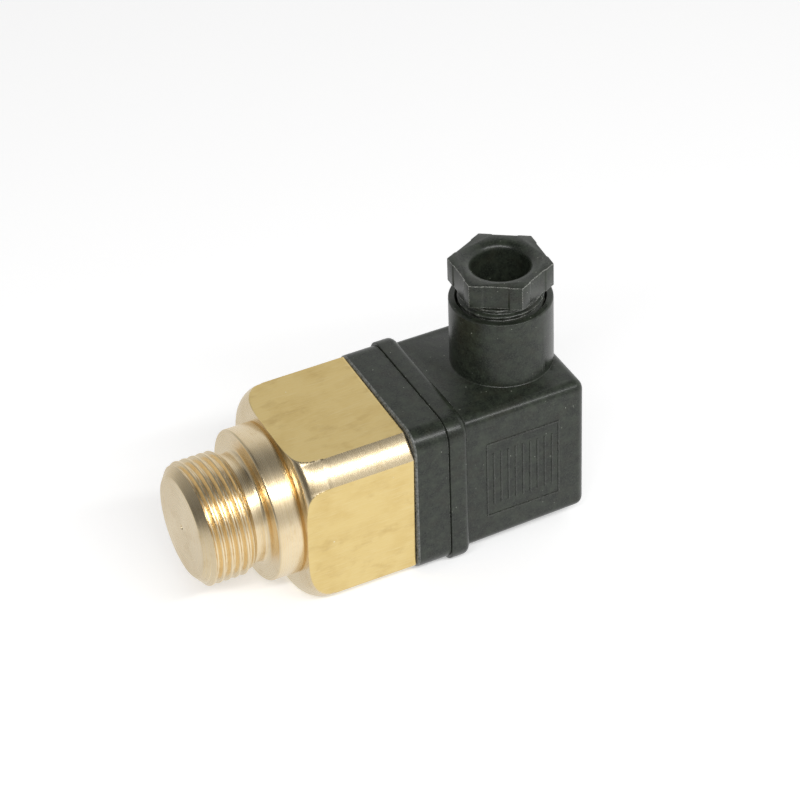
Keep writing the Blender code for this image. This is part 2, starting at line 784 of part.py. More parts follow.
def make_socket_housing(shop):
    bm = bmesh.new()
    skin(bm, housing_rings())
    housing = shop.solid("socket_housing", "socket_body", "black_nylon", bm)
    tube = bmesh.new()
    turned(tube, tube_profile(), along_z, (GLAND_X, 0, 0))
    shop.join(housing, tube)
    hollow = bmesh.new()
    square_loft(
        hollow,
        [(30.0, 13.5, 2.7), (32.75, 13.5, 2.7), (32.75, HOLLOW_HALF, 2.5), (HOLLOW_END, HOLLOW_HALF, 2.5)],
        3,
    )
    shop.cut(housing, hollow)
    boss = bmesh.new()
    turned(boss, [(49.0, 0.0), (49.0, 5.3), (HOLLOW_END + 0.5, 5.3), (HOLLOW_END + 0.5, 0.0)], count=32)
    shop.join(housing, boss)
    bores = bmesh.new()
    turned(bores, [(10.0, 0.0), (10.0, 4.6), (14.9, 4.6), (14.9, TUBE_BORE), (TUBE_RIM + 1, TUBE_BORE),
                   (TUBE_RIM + 1, 0.0)], along_z, (GLAND_X, 0, 0))
    turned(bores, [(48.0, 0.0), (48.0, 1.9), (53.2, 1.9), (53.2, 3.5), (BOX_END + 1, 3.5),
                   (BOX_END + 1, 0.0)], count=32)
    shop.cut(housing, bores)


def make_flat_gasket(shop):
    bm = bmesh.new()
    square_loft(bm, [(31.5, 13.3, 2.5), (32.6, 13.3, 2.5)], 4)
    gasket = shop.solid("flat_gasket", "socket_body", "rubber", bm)
    window = bmesh.new()
    square_loft(window, [(30.0, 10.9, 6.4), (34.0, 10.9, 6.4)], 4)
    shop.cut(gasket, window)


def make_terminal_block(shop):
    bm = bmesh.new()
    square_loft(bm, [(33.7, 11.8, 2.2), (45.6, 11.8, 2.2)], 3)
    carrier = shop.solid("terminal_block", "socket_body", "grey_plastic", bm)
    holes = bmesh.new()
    turned(holes, [(33.0, 0.0), (33.0, 2.2), (47.0, 2.2), (47.0, 0.0)], count=SMALL_ROUND)
    for _, y, z, wide_y in pin_places():
        flat_bar(holes, 33.0, 47.0, y, z, wide_y, 7.8, 3.7)
    shop.cut(carrier, holes)


def make_socket_contacts(shop):
    """Female contacts: a slotted sleeve for the pin, with a screw clamp behind it."""
    for number, (_, y, z, wide_y) in enumerate(pin_places(), 1):
        bm = bmesh.new()
        flat_bar(bm, 34.2, 46.6, y, z, wide_y, 7.5, 3.4)
        contact = shop.solid(f"socket_contact_{number}", "socket_body", "brass_contact", bm)
        slot = bmesh.new()
        flat_bar(slot, 33.0, 42.4, y, z, wide_y, PIN_WIDTH + 0.3, PIN_THICKNESS + 0.2)
        turned(slot, [(43.0, 0.0), (43.0, 1.3), (48.0, 1.3), (48.0, 0.0)], centre=(0, y, z), count=12)
        shop.cut(contact, slot)
        sizes = (43.6, 47.0, 48.6, 1.2, 2.3)
        make_screw(shop, f"terminal_screw_{number}", "socket_body", "steel", sizes, (0.0, y, z))


def make_fixing_screw(shop):
    bm = bmesh.new()
    sleeve(bm, ring_outline(53.3, 53.85, 1.9, 3.2), count=SMALL_ROUND)
    shop.solid("screw_washer", "screw_washer_body", "rubber", bm)
    sizes = (30.2, 53.95, 56.2, 1.45, 2.9)
    make_screw(shop, "fixing_screw", "fixing_screw_body", "steel", sizes, slot=0.8, depth=1.2)


# ---- cable gland -------------------------------------------------------------------------------
def hexagon_ring(corner, w, recess=0.2, turn=NUT_TURN):
    """One section of the nut's head: a hexagon with a shallow recess in the middle of each side."""
    points = []
    for side in range(6):
        a0 = turn + side * math.pi / 3
        a1 = a0 + math.pi / 3
        start = (corner * math.cos(a0), corner * math.sin(a0))
        end = (corner * math.cos(a1), corner * math.sin(a1))
        middle = (a0 + a1) / 2
        inward = (-math.cos(middle) * recess, -math.sin(middle) * recess)
        for share, depth in ((0.0, 0), (0.24, 0), (0.27, 1), (0.73, 1), (0.76, 0)):
            u = start[0] + (end[0] - start[0]) * share + inward[0] * depth
            v = start[1] + (end[1] - start[1]) * share + inward[1] * depth
            points.append((u, v, w))
    return points


def make_gland_nut(shop):
    centre = (GLAND_X, 0.0, 0.0)
    edge = 0.25
    bm = bmesh.new()
    rings = []
    for w, inset in ((NUT_BOTTOM, edge), (NUT_BOTTOM + edge, 0.0), (NUT_TOP - edge, 0.0), (NUT_TOP, edge)):
        rings.append([along_z(p, centre) for p in hexagon_ring(NUT_CORNER - inset, w)])
    skin(bm, rings)
    nut = shop.solid("gland_nut", "gland_nut_body", "black_nylon", bm)
    neck = bmesh.new()
    outline = [(22.9, 0.0), (22.9, 6.9)]
    ridge = 23.2
    while ridge + GLAND_PITCH < NUT_BOTTOM:
        outline += [(ridge, 6.9), (ridge + 0.45 * GLAND_PITCH, 7.5), (ridge + 0.6 * GLAND_PITCH, 7.5)]
        ridge += GLAND_PITCH
    outline += [(ridge, 6.9), (NUT_BOTTOM + 1, 6.9), (NUT_BOTTOM + 1, 0.0)]
    turned(neck, outline, along_z, centre, 30)
    shop.join(nut, neck)
    bore = bmesh.new()
    turned(bore, [(21.0, 0.0), (21.0, 4.95), (NUT_TOP - 1.5, 4.95), (NUT_TOP, 6.0), (NUT_TOP + 1, 6.8),
                  (NUT_TOP + 1, 0.0)], along_z, centre, 30)
    shop.cut(nut, bore)


def make_gland_washer(shop):
    bm = bmesh.new()
    outline = ring_outline(22.0, 22.8, 4.7, 7.4)
    sleeve(bm, outline, along_z, (GLAND_X, 0, 0), 28)
    shop.solid("gland_washer", "gland_washer_body", "steel", bm)


def make_grommet(shop):
    bm = bmesh.new()
    outline = ring_outline(15.1, 20.4, 4.4, 7.45, 0.6)
    sleeve(bm, outline, along_z, (GLAND_X, 0, 0), 28)
    shop.solid("grommet", "socket_body", "rubber", bm)


# ---- assembly ----------------------------------------------------------------------------------
def build():
    shop = Workshop()
    make_brass_body(shop)
    make_diaphragm(shop)
    make_guide_bush(shop)
    make_piston(shop)
    make_push_rod(shop)
    make_range_spring(shop)
    make_spring_seat(shop)
    make_adjusting_ring(shop)
    make_snap_switch(shop)
    make_plug_base(shop)
    make_base_seal(shop)
    make_base_screws(shop)
    make_pins(shop)
    make_nut_insert(shop)
    make_leads(shop)
    make_socket_housing(shop)
    make_flat_gasket(shop)
    make_terminal_block(shop)
    make_socket_contacts(shop)
    make_fixing_screw(shop)
    make_gland_nut(shop)
    make_gland_washer(shop)
    make_grommet(shop)


build()
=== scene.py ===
"""Looks of a pressure switch: brass port and body, black plug base, cable socket and gland.

Lengths in the shape code are millimetres from the datum, the centre of the collar's sealing face.
X is the port axis, +X towards the cable socket, +Z towards the mouth of the cable gland.
"""

import json
import math

import bmesh
import bpy
import numpy as np
from mathutils import Matrix, Vector


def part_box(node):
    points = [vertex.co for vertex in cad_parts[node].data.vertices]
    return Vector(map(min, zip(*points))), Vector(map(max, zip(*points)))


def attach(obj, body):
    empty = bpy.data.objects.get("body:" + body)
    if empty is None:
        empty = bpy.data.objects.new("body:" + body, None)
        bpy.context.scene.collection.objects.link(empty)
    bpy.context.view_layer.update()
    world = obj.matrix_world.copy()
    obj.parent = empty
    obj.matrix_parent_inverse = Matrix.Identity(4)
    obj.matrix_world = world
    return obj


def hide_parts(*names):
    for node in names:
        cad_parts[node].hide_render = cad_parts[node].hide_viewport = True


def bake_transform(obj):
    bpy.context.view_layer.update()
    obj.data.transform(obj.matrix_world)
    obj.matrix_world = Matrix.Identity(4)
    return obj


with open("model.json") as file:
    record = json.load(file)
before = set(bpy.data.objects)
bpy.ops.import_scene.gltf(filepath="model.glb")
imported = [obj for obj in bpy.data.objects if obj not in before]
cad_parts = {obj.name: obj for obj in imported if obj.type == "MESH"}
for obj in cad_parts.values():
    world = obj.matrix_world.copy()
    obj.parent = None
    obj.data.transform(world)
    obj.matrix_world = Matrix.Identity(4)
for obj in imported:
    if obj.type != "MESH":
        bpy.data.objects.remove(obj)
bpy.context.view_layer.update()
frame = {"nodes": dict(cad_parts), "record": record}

MM = 0.001
NODES = frame["nodes"]
BODY_OF = {n: body for body, names in frame["record"]["behaviour"]["bodies"].items() for n in names}
SLOT_OF = {row["node"]: row["material_slot"] for row in frame["record"]["subparts"]}

PORT_LENGTH = 12.1
port_low, port_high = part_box("brass_body")
DATUM = Vector((port_low.x / MM + PORT_LENGTH, 0.0, (port_low.z + port_high.z) / 2 / MM))


def box_mm(node):
    """Lowest and highest corner of a CAD node, in millimetres from the datum."""
    low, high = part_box(node)
    return low / MM - DATUM, high / MM - DATUM


def in_metres(point):
    return [(c + d) * MM for c, d in zip(point, DATUM)]


# ---- sizes read from the frame, and the few that only the looks need ---------------------------
BRASS_LOW, BRASS_HIGH = box_mm("brass_body")
BASE_HIGH = box_mm("plug_base")[1]
HOUSING_LOW, HOUSING_HIGH = box_mm("socket_housing")
NUT_LOW, NUT_HIGH = box_mm("gland_nut")

PORT_END = BRASS_LOW.x
BLOCK_END = BRASS_HIGH.x
BLOCK_HALF = BRASS_HIGH.z
PORT_FACE_RADIUS = 9.0
THREAD_RADIUS = 11.0
THREAD_PITCH = 1.5
THREAD_DEPTH = 0.86
GROOVE_START = -3.0
GROOVE_RADIUS = 9.7
COLLAR_RADIUS = 13.55
COLLAR_LENGTH = 4.8
BLOCK_TURN = math.radians(1.5)
CORNER_RADIUS = 19.1
WIDE_CORNER_RADIUS = 18.1
NOSE_START = 14.93
NOSE_LENGTH = 4.5
NOSE_RUN = 0.3
WIDE_NOSE_RUN = 1.9
PINHOLE_RADIUS = 0.4
CHAMBER_START = PORT_END + 2.5
CHAMBER_RADIUS = 5.0
SEAT_START = 1.0
SEAT_RADIUS = 8.2
CAVITY_START = 9.0
CAVITY_RADIUS = 12.4
FLAT_STEPS = 64
CORNER_STEPS = 23
CORNER_CROWN = 0.22
THREAD_CREST = 0.18
THREAD_FLANK = 0.64
THREAD_CHAMFER_SLOPE = 1.25
THREAD_RUN_OUT = 0.9
BASE_SCREW_OFFSET = 10.75
BASE_SCREW_BORE = 1.3
BASE_SCREW_CENTRES = [
    (0.0, y * BASE_SCREW_OFFSET, z * BASE_SCREW_OFFSET) for y in (-1, 1) for z in (-1, 1)
]

BASE_FRONT = BLOCK_END + 0.12
BASE_HALF = BASE_HIGH.z
BASE_CORNER = 3.6
BASE_END = HOUSING_LOW.x - 0.05
BASE_FLOOR = 28.8
BASE_HOLLOW_RADIUS = 10.2
SPIGOT_START = 22.2
SPIGOT_RADIUS = 12.2
SEAL_GROOVE = (22.9, 24.3, 11.2)
PEDESTAL_HALF = 10.6
PEDESTAL_CORNER = 6.2
PEDESTAL_END = 33.4
PIN_OFFSET = 9.0
PIN_SLOT = (6.4, 0.9)
PIN_PLACES = (
    (0.0, -PIN_OFFSET, True), (0.0, PIN_OFFSET, True),
    (PIN_OFFSET, 0.0, False), (-PIN_OFFSET, 0.0, False),
)

FLANGE_HALF = HOUSING_HIGH.y
FLANGE_END = 35.2
BOX_TOP = 13.92
BOX_SIDE = (13.62, 13.51)
BOX_BOTTOM = (13.90, 13.27)
BOX_CORNER = 1.9
BOX_END = HOUSING_HIGH.x
BOX_EDGE = 1.6
HOLLOW_HALF = 12.2
HOLLOW_END = 55.3
GASKET_HALF = 13.5
GASKET_SEAT = 32.75
SCREW_BOSS_START = 49.0
SCREW_BOSS_RADIUS = 5.3
SCREW_SEAT = 53.2
SCREW_SHANK_BORE = 1.9
SCREW_HEAD_BORE = 3.5

GLAND_X = (NUT_LOW.x + NUT_HIGH.x) / 2
TUBE_RADIUS = 9.03
TUBE_RIM = HOUSING_HIGH.z
TUBE_BORE = 7.75
CABLE_BORE = 4.6
GROMMET_SEAT = 14.9
NUT_BOTTOM = 29.6
NUT_TOP = NUT_HIGH.z
NUT_CORNER = 9.11
NUT_TURN = math.radians(26.2)
NUT_BORE = 4.95
FUNNEL_DEPTH = 1.5
FUNNEL_FLARE = 1.75
NECK_ROOT = 6.9
NECK_DEPTH = 0.6
GLAND_PITCH = 1.411


# ---- mesh helpers ------------------------------------------------------------------------------
def mesh_from_grid(name, points, face_slots=None):
    """A ring of quads from points [row, column, xyz] in millimetres, joined up along both."""
    rows, columns = points.shape[:2]
    index = np.arange(rows * columns).reshape(rows, columns)
    below = np.roll(index, -1, axis=0)
    quads = np.stack([index, np.roll(index, -1, axis=1), np.roll(below, -1, axis=1), below], axis=-1)
    quads = quads.reshape(-1, 4)
    mesh = bpy.data.meshes.new(name)
    mesh.from_pydata(((points.reshape(-1, 3) + np.array(DATUM)) * MM).tolist(), [], quads.tolist())
    if face_slots is not None:
        mesh.polygons.foreach_set("material_index", face_slots.reshape(-1).astype(np.int32))
    mesh.update()
    return mesh


def link(name, mesh):
    obj = bpy.data.objects.new(name, mesh)
    bpy.context.scene.collection.objects.link(obj)
    return obj


def skin(bm, rings, closed=False):
    """Joins rings of points into a closed surface. A ring of one point is a tip."""
    made = [[bm.verts.new(in_metres(point)) for point in ring] for ring in rings]
    pairs = list(zip(made, made[1:]))
    if closed:
        pairs.append((made[-1], made[0]))
    for first, second in pairs:
        count = max(len(first), len(second))
        for i in range(count):
            j = (i + 1) % count
            if len(first) == 1:
                bm.faces.new((first[0], second[i], second[j]))
            elif len(second) == 1:
                bm.faces.new((first[i], first[j], second[0]))
            else:
                bm.faces.new((first[i], first[j], second[j], second[i]))
    if not closed:
        for end in (made[0], made[-1]):
            if len(end) > 1:
                bm.faces.new(end)


def along_x(point, centre=(0.0, 0.0, 0.0)):
    u, v, w = point
    return (centre[0] + w, centre[1] + u, centre[2] + v)


def along_z(point, centre=(0.0, 0.0, 0.0)):
    u, v, w = point
    return (centre[0] + u, centre[1] + v, centre[2] + w)


def turned(bm, profile, place=along_x, centre=(0.0, 0.0, 0.0), count=96, closed=False):
    """A solid of revolution, or a ring when closed. profile is (distance along the axis, radius)."""
    rings = []
    for w, radius in profile:
        if radius == 0:
            rings.append([place((0.0, 0.0, w), centre)])
            continue
        ring = []
        for i in range(count):
            angle = 2 * math.pi * i / count
            ring.append(place((radius * math.cos(angle), radius * math.sin(angle), w), centre))
        rings.append(ring)
    skin(bm, rings, closed)


def rounded_rectangle(half_u, half_v, radius, w, steps=12):
    """The outline of a rectangle with round corners, at w along the axis."""
    points = []
    corners = ((1, 1), (-1, 1), (-1, -1), (1, -1))
    for quarter, (sign_u, sign_v) in enumerate(corners):
        for i in range(steps + 1):
            angle = (quarter + i / steps) * math.pi / 2
            u = sign_u * (half_u - radius) + radius * math.cos(angle)
            v = sign_v * (half_v - radius) + radius * math.sin(angle)
            points.append((u, v, w))
    return points


def square_loft(bm, sections, steps=12):
    """A solid along X through rounded squares: (x, half size, corner radius)."""
    rings = []
    for x, half, corner in sections:
        rings.append([along_x(p) for p in rounded_rectangle(half, half, corner, x, steps)])
    skin(bm, rings)


def block(bm, low, high):
    """A rectangular block between two opposite corners."""
    ring = ((0, 0), (1, 0), (1, 1), (0, 1))
    ends = (low, high)
    rings = []
    for w in (low[2], high[2]):
        rings.append([(ends[u][0], ends[v][1], w) for u, v in ring])
    skin(bm, rings)


def arc_sections(x, half, corner, edge, steps=8):
    """Squares that round off an edge of radius edge, ending at x."""
    sections = []
    for i in range(steps + 1):
        angle = math.pi / 2 * i / steps
        inset = edge * (1 - math.cos(angle))
        sections.append((x - edge + edge * math.sin(angle), half - inset, corner - inset))
    return sections


def fillet(w0, r0, w1, r1, bulge, steps):
    """Points of a quarter turn from (w0, r0) to (w1, r1). With bulge it sets out along the radius."""
    points = []
    for i in range(steps + 1):
        angle = math.pi / 2 * i / steps
        s, c = math.sin(angle), 1 - math.cos(angle)
        along, across = (c, s) if bulge else (s, c)
        points.append((w0 + (w1 - w0) * along, r0 + (r1 - r0) * across))
    return points


def from_bmesh(name, bm):
    bmesh.ops.recalc_face_normals(bm, faces=bm.faces)
    mesh = bpy.data.meshes.new(name)
    bm.to_mesh(mesh)
    bm.free()
    return link(name, mesh)


def combine(obj, bm, operation):
    """Joins to obj, or cuts from it, the shapes in bm, and applies the result."""
    tool = from_bmesh("tool", bm)
    modifier = obj.modifiers.new("combine", "BOOLEAN")
    modifier.operation = operation
    modifier.solver = "MANIFOLD"
    modifier.object = tool
    apply_modifiers(obj)
    bpy.data.objects.remove(tool, do_unlink=True)


def apply_modifiers(obj):
    graph = bpy.context.evaluated_depsgraph_get()
    mesh = bpy.data.meshes.new_from_object(obj.evaluated_get(graph))
    obj.modifiers.clear()
    obj.data = mesh


def soften(obj, width, angle):
    """Rounds the edges sharper than angle, in degrees, by width in millimetres."""
    modifier = obj.modifiers.new("edges", "BEVEL")
    modifier.width = width * MM
    modifier.segments = 2
    modifier.limit_method = "ANGLE"
    modifier.angle_limit = math.radians(angle)


def shade(obj, angle):
    """Smooth shading, but crisp at edges sharper than angle, in degrees."""
    obj.data.shade_smooth()
    obj.data.set_sharp_from_angle(angle=math.radians(angle))


def crisp_borders(obj):
    """Keeps the lines between faces of different finish sharp."""
    bm = bmesh.new()
    bm.from_mesh(obj.data)
    for edge in bm.edges:
        faces = edge.link_faces
        if len(faces) == 2 and faces[0].material_index != faces[1].material_index:
            edge.smooth = False
    bm.to_mesh(obj.data)
    bm.free()


# ---- material helpers --------------------------------------------------------------------------
# Radius of the pale-edge mask: edge wear, and on the gland nut a painted highlight along the edges.
WORN_AND_HIGHLIT_EDGE = 0.25
WORN_FRONT = 0.42


class Finish:
    """A node material being built up around one Principled shader."""

    def __init__(self, name, colour, roughness, metallic=0.0):
        self.material = bpy.data.materials.new(name)
        self.material.use_nodes = True
        self.tree = self.material.node_tree
        self.shader = self.tree.nodes["Principled BSDF"]
        self.shader.inputs["Metallic"].default_value = metallic
        self.coords = self.add("ShaderNodeTexCoord").outputs["Object"]
        self.colour = self.constant_colour(colour)
        self.roughness = self.constant(roughness)
        self.height = None

    def add(self, kind, **settings):
        node = self.tree.nodes.new(kind)
        for key, value in settings.items():
            setattr(node, key, value)
        return node

    def join(self, source, target):
        self.tree.links.new(source, target)

    def constant(self, value):
        node = self.add("ShaderNodeValue")
        node.outputs[0].default_value = value
        return node.outputs[0]

    def constant_colour(self, colour):
        node = self.add("ShaderNodeRGB")
        node.outputs[0].default_value = (*colour, 1.0)
        return node.outputs[0]

    def math(self, operation, a, b=None, c=None, clamp=False):
        node = self.add("ShaderNodeMath", operation=operation, use_clamp=clamp)
        for slot, value in enumerate((a, b, c)):
            if value is None:
                continue
            if isinstance(value, (int, float)):
                node.inputs[slot].default_value = value
            else:
                self.join(value, node.inputs[slot])
        return node.outputs[0]

    def stretched(self, scale):
        """Object coordinates in millimetres, stretched by scale."""
        node = self.add("ShaderNodeVectorMath", operation="MULTIPLY")
        self.join(self.coords, node.inputs[0])
        node.inputs[1].default_value = [s / MM for s in scale]
        return node.outputs[0]

    def noise(self, scale, detail=3.0, roughness=0.55, vector=None):
        node = self.add("ShaderNodeTexNoise")
        self.join(vector or self.stretched(scale), node.inputs["Vector"])
        node.inputs["Scale"].default_value = 1.0
        node.inputs["Detail"].default_value = detail
        node.inputs["Roughness"].default_value = roughness
        return node.outputs["Fac"]

    def specks(self, scale, size):
        """1 inside scattered small grains, 0 elsewhere."""
        node = self.add("ShaderNodeTexVoronoi")
        self.join(self.stretched((scale, scale, scale)), node.inputs["Vector"])
        node.inputs["Scale"].default_value = 1.0
        near = self.math("LESS_THAN", node.outputs["Distance"], size)
        colour = self.add("ShaderNodeSeparateColor")
        self.join(node.outputs["Color"], colour.inputs[0])
        chosen = self.math("GREATER_THAN", colour.outputs[0], 0.8)
        return self.math("MULTIPLY", near, chosen)

    def axis(self, name):
        """One object coordinate in millimetres."""
        node = self.add("ShaderNodeSeparateXYZ")
        self.join(self.coords, node.inputs[0])
        return self.math("MULTIPLY_ADD", node.outputs[name], 1 / MM, -DATUM["XYZ".index(name)])

    def ramp(self, value, low, high, to_low=0.0, to_high=1.0):
        node = self.add("ShaderNodeMapRange")
        self.join(value, node.inputs["Value"])
        node.inputs["From Min"].default_value = low
        node.inputs["From Max"].default_value = high
        node.inputs["To Min"].default_value = to_low
        node.inputs["To Max"].default_value = to_high
        return node.outputs[0]

    def tint(self, colour, amount):
        """Mixes another colour in by amount, a socket from 0 to 1."""
        node = self.add("ShaderNodeMix", data_type="RGBA")
        self.join(amount, node.inputs["Factor"])
        self.join(self.colour, node.inputs["A"])
        node.inputs["B"].default_value = (*colour, 1.0)
        self.colour = node.outputs["Result"]

    def rougher(self, amount, by):
        self.roughness = self.math("MULTIPLY_ADD", amount, by, self.roughness)

    def raised(self, amount, by):
        """Adds amount times by, in millimetres, to the bump height."""
        scaled = self.math("MULTIPLY", amount, by)
        self.height = scaled if self.height is None else self.math("ADD", self.height, scaled)

    def edges(self):
        """0 on flat ground, rising on edges that are turned sharply."""
        bevel = self.add("ShaderNodeBevel", samples=6)
        bevel.inputs["Radius"].default_value = WORN_AND_HIGHLIT_EDGE * MM
        geometry = self.add("ShaderNodeNewGeometry")
        product = self.add("ShaderNodeVectorMath", operation="DOT_PRODUCT")
        self.join(bevel.outputs[0], product.inputs[0])
        self.join(geometry.outputs["Normal"], product.inputs[1])
        return self.ramp(product.outputs["Value"], 0.995, 0.86)

    def done(self):
        self.join(self.colour, self.shader.inputs["Base Color"])
        self.join(self.math("ADD", self.roughness, 0.0, clamp=True), self.shader.inputs["Roughness"])
        if self.height is not None:
            bump = self.add("ShaderNodeBump")
            bump.inputs["Strength"].default_value = 1.0
            bump.inputs["Distance"].default_value = MM
            self.join(self.height, bump.inputs["Height"])
            self.join(bump.outputs[0], self.shader.inputs["Normal"])
        return self.material


def times(colour, factors):
    return tuple(c * f for c, f in zip(colour, factors))


def brass(name, colour, roughness):
    finish = Finish(name, colour, roughness, 1.0)
    blotch = finish.noise((0.16, 0.22, 0.22), 4.0)
    finish.tint(times(colour, (0.90, 0.86, 0.78)), finish.ramp(blotch, 0.45, 0.75))
    return finish


def turned_brass():
    """Lathe finish: rings around the port axis, with a slight run of the tool."""
    finish = brass("brass_turned", (0.895, 0.735, 0.48), 0.19)
    x = finish.axis("X")
    y = finish.axis("Y")
    z = finish.axis("Z")
    squares = finish.math("ADD", finish.math("MULTIPLY", y, y), finish.math("MULTIPLY", z, z))
    radius = finish.math("SQRT", squares)
    along = finish.add("ShaderNodeCombineXYZ")
    finish.join(finish.math("MULTIPLY", x, 7.0), along.inputs[0])
    finish.join(finish.math("MULTIPLY", radius, 7.0), along.inputs[1])
    rings = finish.noise(None, 4.0, 0.7, along.outputs[0])
    finish.raised(rings, 0.007)
    finish.rougher(rings, 0.16)
    finish.tint((0.95, 0.83, 0.60), finish.ramp(rings, 0.45, 0.7, 0.0, 0.45))
    grit = finish.noise((9.0, 3.0, 3.0), 2.0, 0.6)
    finish.raised(grit, 0.006)
    tarnish = finish.noise((0.5, 0.28, 0.28), 5.0, 0.7)
    finish.tint((0.60, 0.40, 0.16), finish.ramp(tarnish, 0.56, 0.74, 0.0, 0.35))
    tangent = finish.add("ShaderNodeTangent", direction_type="RADIAL", axis="X")
    finish.join(tangent.outputs[0], finish.shader.inputs["Tangent"])
    finish.shader.inputs["Anisotropic"].default_value = 0.55
    return finish.done()


def milled_brass():
    """The spanner flats: fine marks along the port axis, faint stains and small nicks."""
    finish = brass("brass_milled", (0.85, 0.655, 0.285), 0.30)
    marks = finish.noise((0.35, 9.0, 9.0), 3.0, 0.6)
    finish.raised(marks, 0.007)
    finish.rougher(marks, 0.16)
    finish.tint((0.93, 0.78, 0.44), finish.ramp(marks, 0.48, 0.75, 0.0, 0.5))
    cross = finish.noise((7.0, 0.5, 0.5), 2.0, 0.5)
    finish.raised(cross, 0.003)
    stains = finish.ramp(finish.noise((0.16, 0.30, 0.30), 5.0, 0.65), 0.54, 0.74)
    finish.tint((0.62, 0.43, 0.16), finish.math("MULTIPLY", stains, 0.5))
    finish.rougher(stains, 0.08)
    nicks = finish.specks(0.45, 0.07)
    finish.raised(nicks, -0.02)
    finish.tint((0.98, 0.90, 0.66), finish.math("MULTIPLY", nicks, 0.7))
    return finish.done()


def nylon(name, wear_and_highlight):
    """Glass-filled nylon: mottled, slightly dusty, paler where edges are rubbed. The edge paleness is
    wear, and at its highest, on the gland nut, a painted highlight along the edges.
    """
    colour = (0.017, 0.0205, 0.0155)
    finish = Finish(name, colour, 0.20)
    mottle = finish.noise((0.55, 0.55, 0.55), 5.0, 0.65)
    finish.tint(times(colour, (2.7, 2.8, 2.5)), finish.ramp(mottle, 0.42, 0.72, 0.0, 0.85))
    warm = finish.noise((0.35, 0.35, 0.5), 3.0, 0.5)
    finish.tint(times(colour, (1.6, 1.25, 1.1)), finish.ramp(warm, 0.5, 0.75, 0.0, 0.6))
    grain = finish.noise((3.2, 3.2, 3.2), 4.0, 0.7)
    finish.raised(grain, 0.014)
    finish.rougher(grain, 0.10)
    finish.rougher(mottle, 0.08)
    finish.tint(times(colour, (3.6, 3.6, 3.5)), finish.ramp(grain, 0.50, 0.70, 0.0, 0.7))
    dust = finish.math("MULTIPLY", finish.specks(1.3, 0.12), finish.ramp(mottle, 0.44, 0.56))
    finish.tint((0.45, 0.46, 0.40), finish.math("MULTIPLY", dust, 0.75))
    # Pale edges: rubbed wear, and on the gland nut a painted highlight along the edges.
    worn_and_highlit = finish.math("MULTIPLY", finish.edges(), finish.ramp(grain, 0.34, 0.60))
    finish.tint((wear_and_highlight, wear_and_highlight, wear_and_highlight * 0.94), finish.math("MULTIPLY", worn_and_highlit, 0.85))
    front_edge = finish.math("LESS_THAN", finish.axis("X"), BASE_FRONT + WORN_FRONT)
    patches = finish.ramp(finish.noise((2.0, 2.0, 2.0), 4.0, 0.7), 0.30, 0.62)
    rubbed = finish.math("MULTIPLY", front_edge, patches)
    finish.tint((0.26, 0.265, 0.25), finish.math("MULTIPLY", rubbed, 0.9))
    finish.shader.inputs["Specular IOR Level"].default_value = 0.44
    return finish.done()


def steel(name, colour, roughness):
    finish = Finish(name, colour, roughness, 1.0)
    marks = finish.noise((5.0, 5.0, 5.0), 3.0, 0.6)
    finish.raised(marks, 0.004)
    finish.rougher(marks, 0.18)
    tone = finish.noise((0.5, 0.5, 0.5), 3.0)
    finish.tint(times(colour, (0.75, 0.75, 0.78)), finish.ramp(tone, 0.45, 0.7))
    return finish.done()


def soft(name, colour, roughness, grain_size=4.0, depth=0.01):
    finish = Finish(name, colour, roughness)
    grain = finish.noise((grain_size, grain_size, grain_size), 3.0, 0.6)
    finish.raised(grain, depth)
    finish.rougher(grain, 0.2)
    tone = finish.noise((0.7, 0.7, 0.7), 4.0)
    finish.tint(times(colour, (1.5, 1.5, 1.5)), finish.ramp(tone, 0.45, 0.75, 0.0, 0.7))
    return finish.done()


FINISHES = {
    "brass_contacts": steel("brass_contact", (0.80, 0.62, 0.28), 0.22),
    "plated_steel": steel("plated_steel", (0.66, 0.66, 0.67), 0.25),
    "spring_steel": steel("spring_steel", (0.45, 0.45, 0.47), 0.22),
    "tinned_pins": steel("tinned_pins", (0.78, 0.78, 0.76), 0.28),
    "black_nylon": nylon("black_nylon", 0.42),
    # The gland nut's finish: its whitened edges are a painted highlight as well as wear.
    "rubbed_nylon_painted_highlight": nylon("rubbed_nylon_painted_highlight", 1.0),
    "fresh_nylon": nylon("fresh_nylon", 0.12),
    "grey_plastic": soft("grey_plastic", (0.16, 0.165, 0.16), 0.42),
    "switch_case_red": soft("switch_case_red", (0.30, 0.035, 0.025), 0.38),
    "rubber_seals": soft("rubber_seals", (0.018, 0.018, 0.018), 0.62, 3.0, 0.02),
    "diaphragm_film": soft("diaphragm_film", (0.55, 0.30, 0.08), 0.25, 2.0, 0.004),
    "lead_insulation": soft("lead_insulation", (0.05, 0.10, 0.32), 0.45),
}


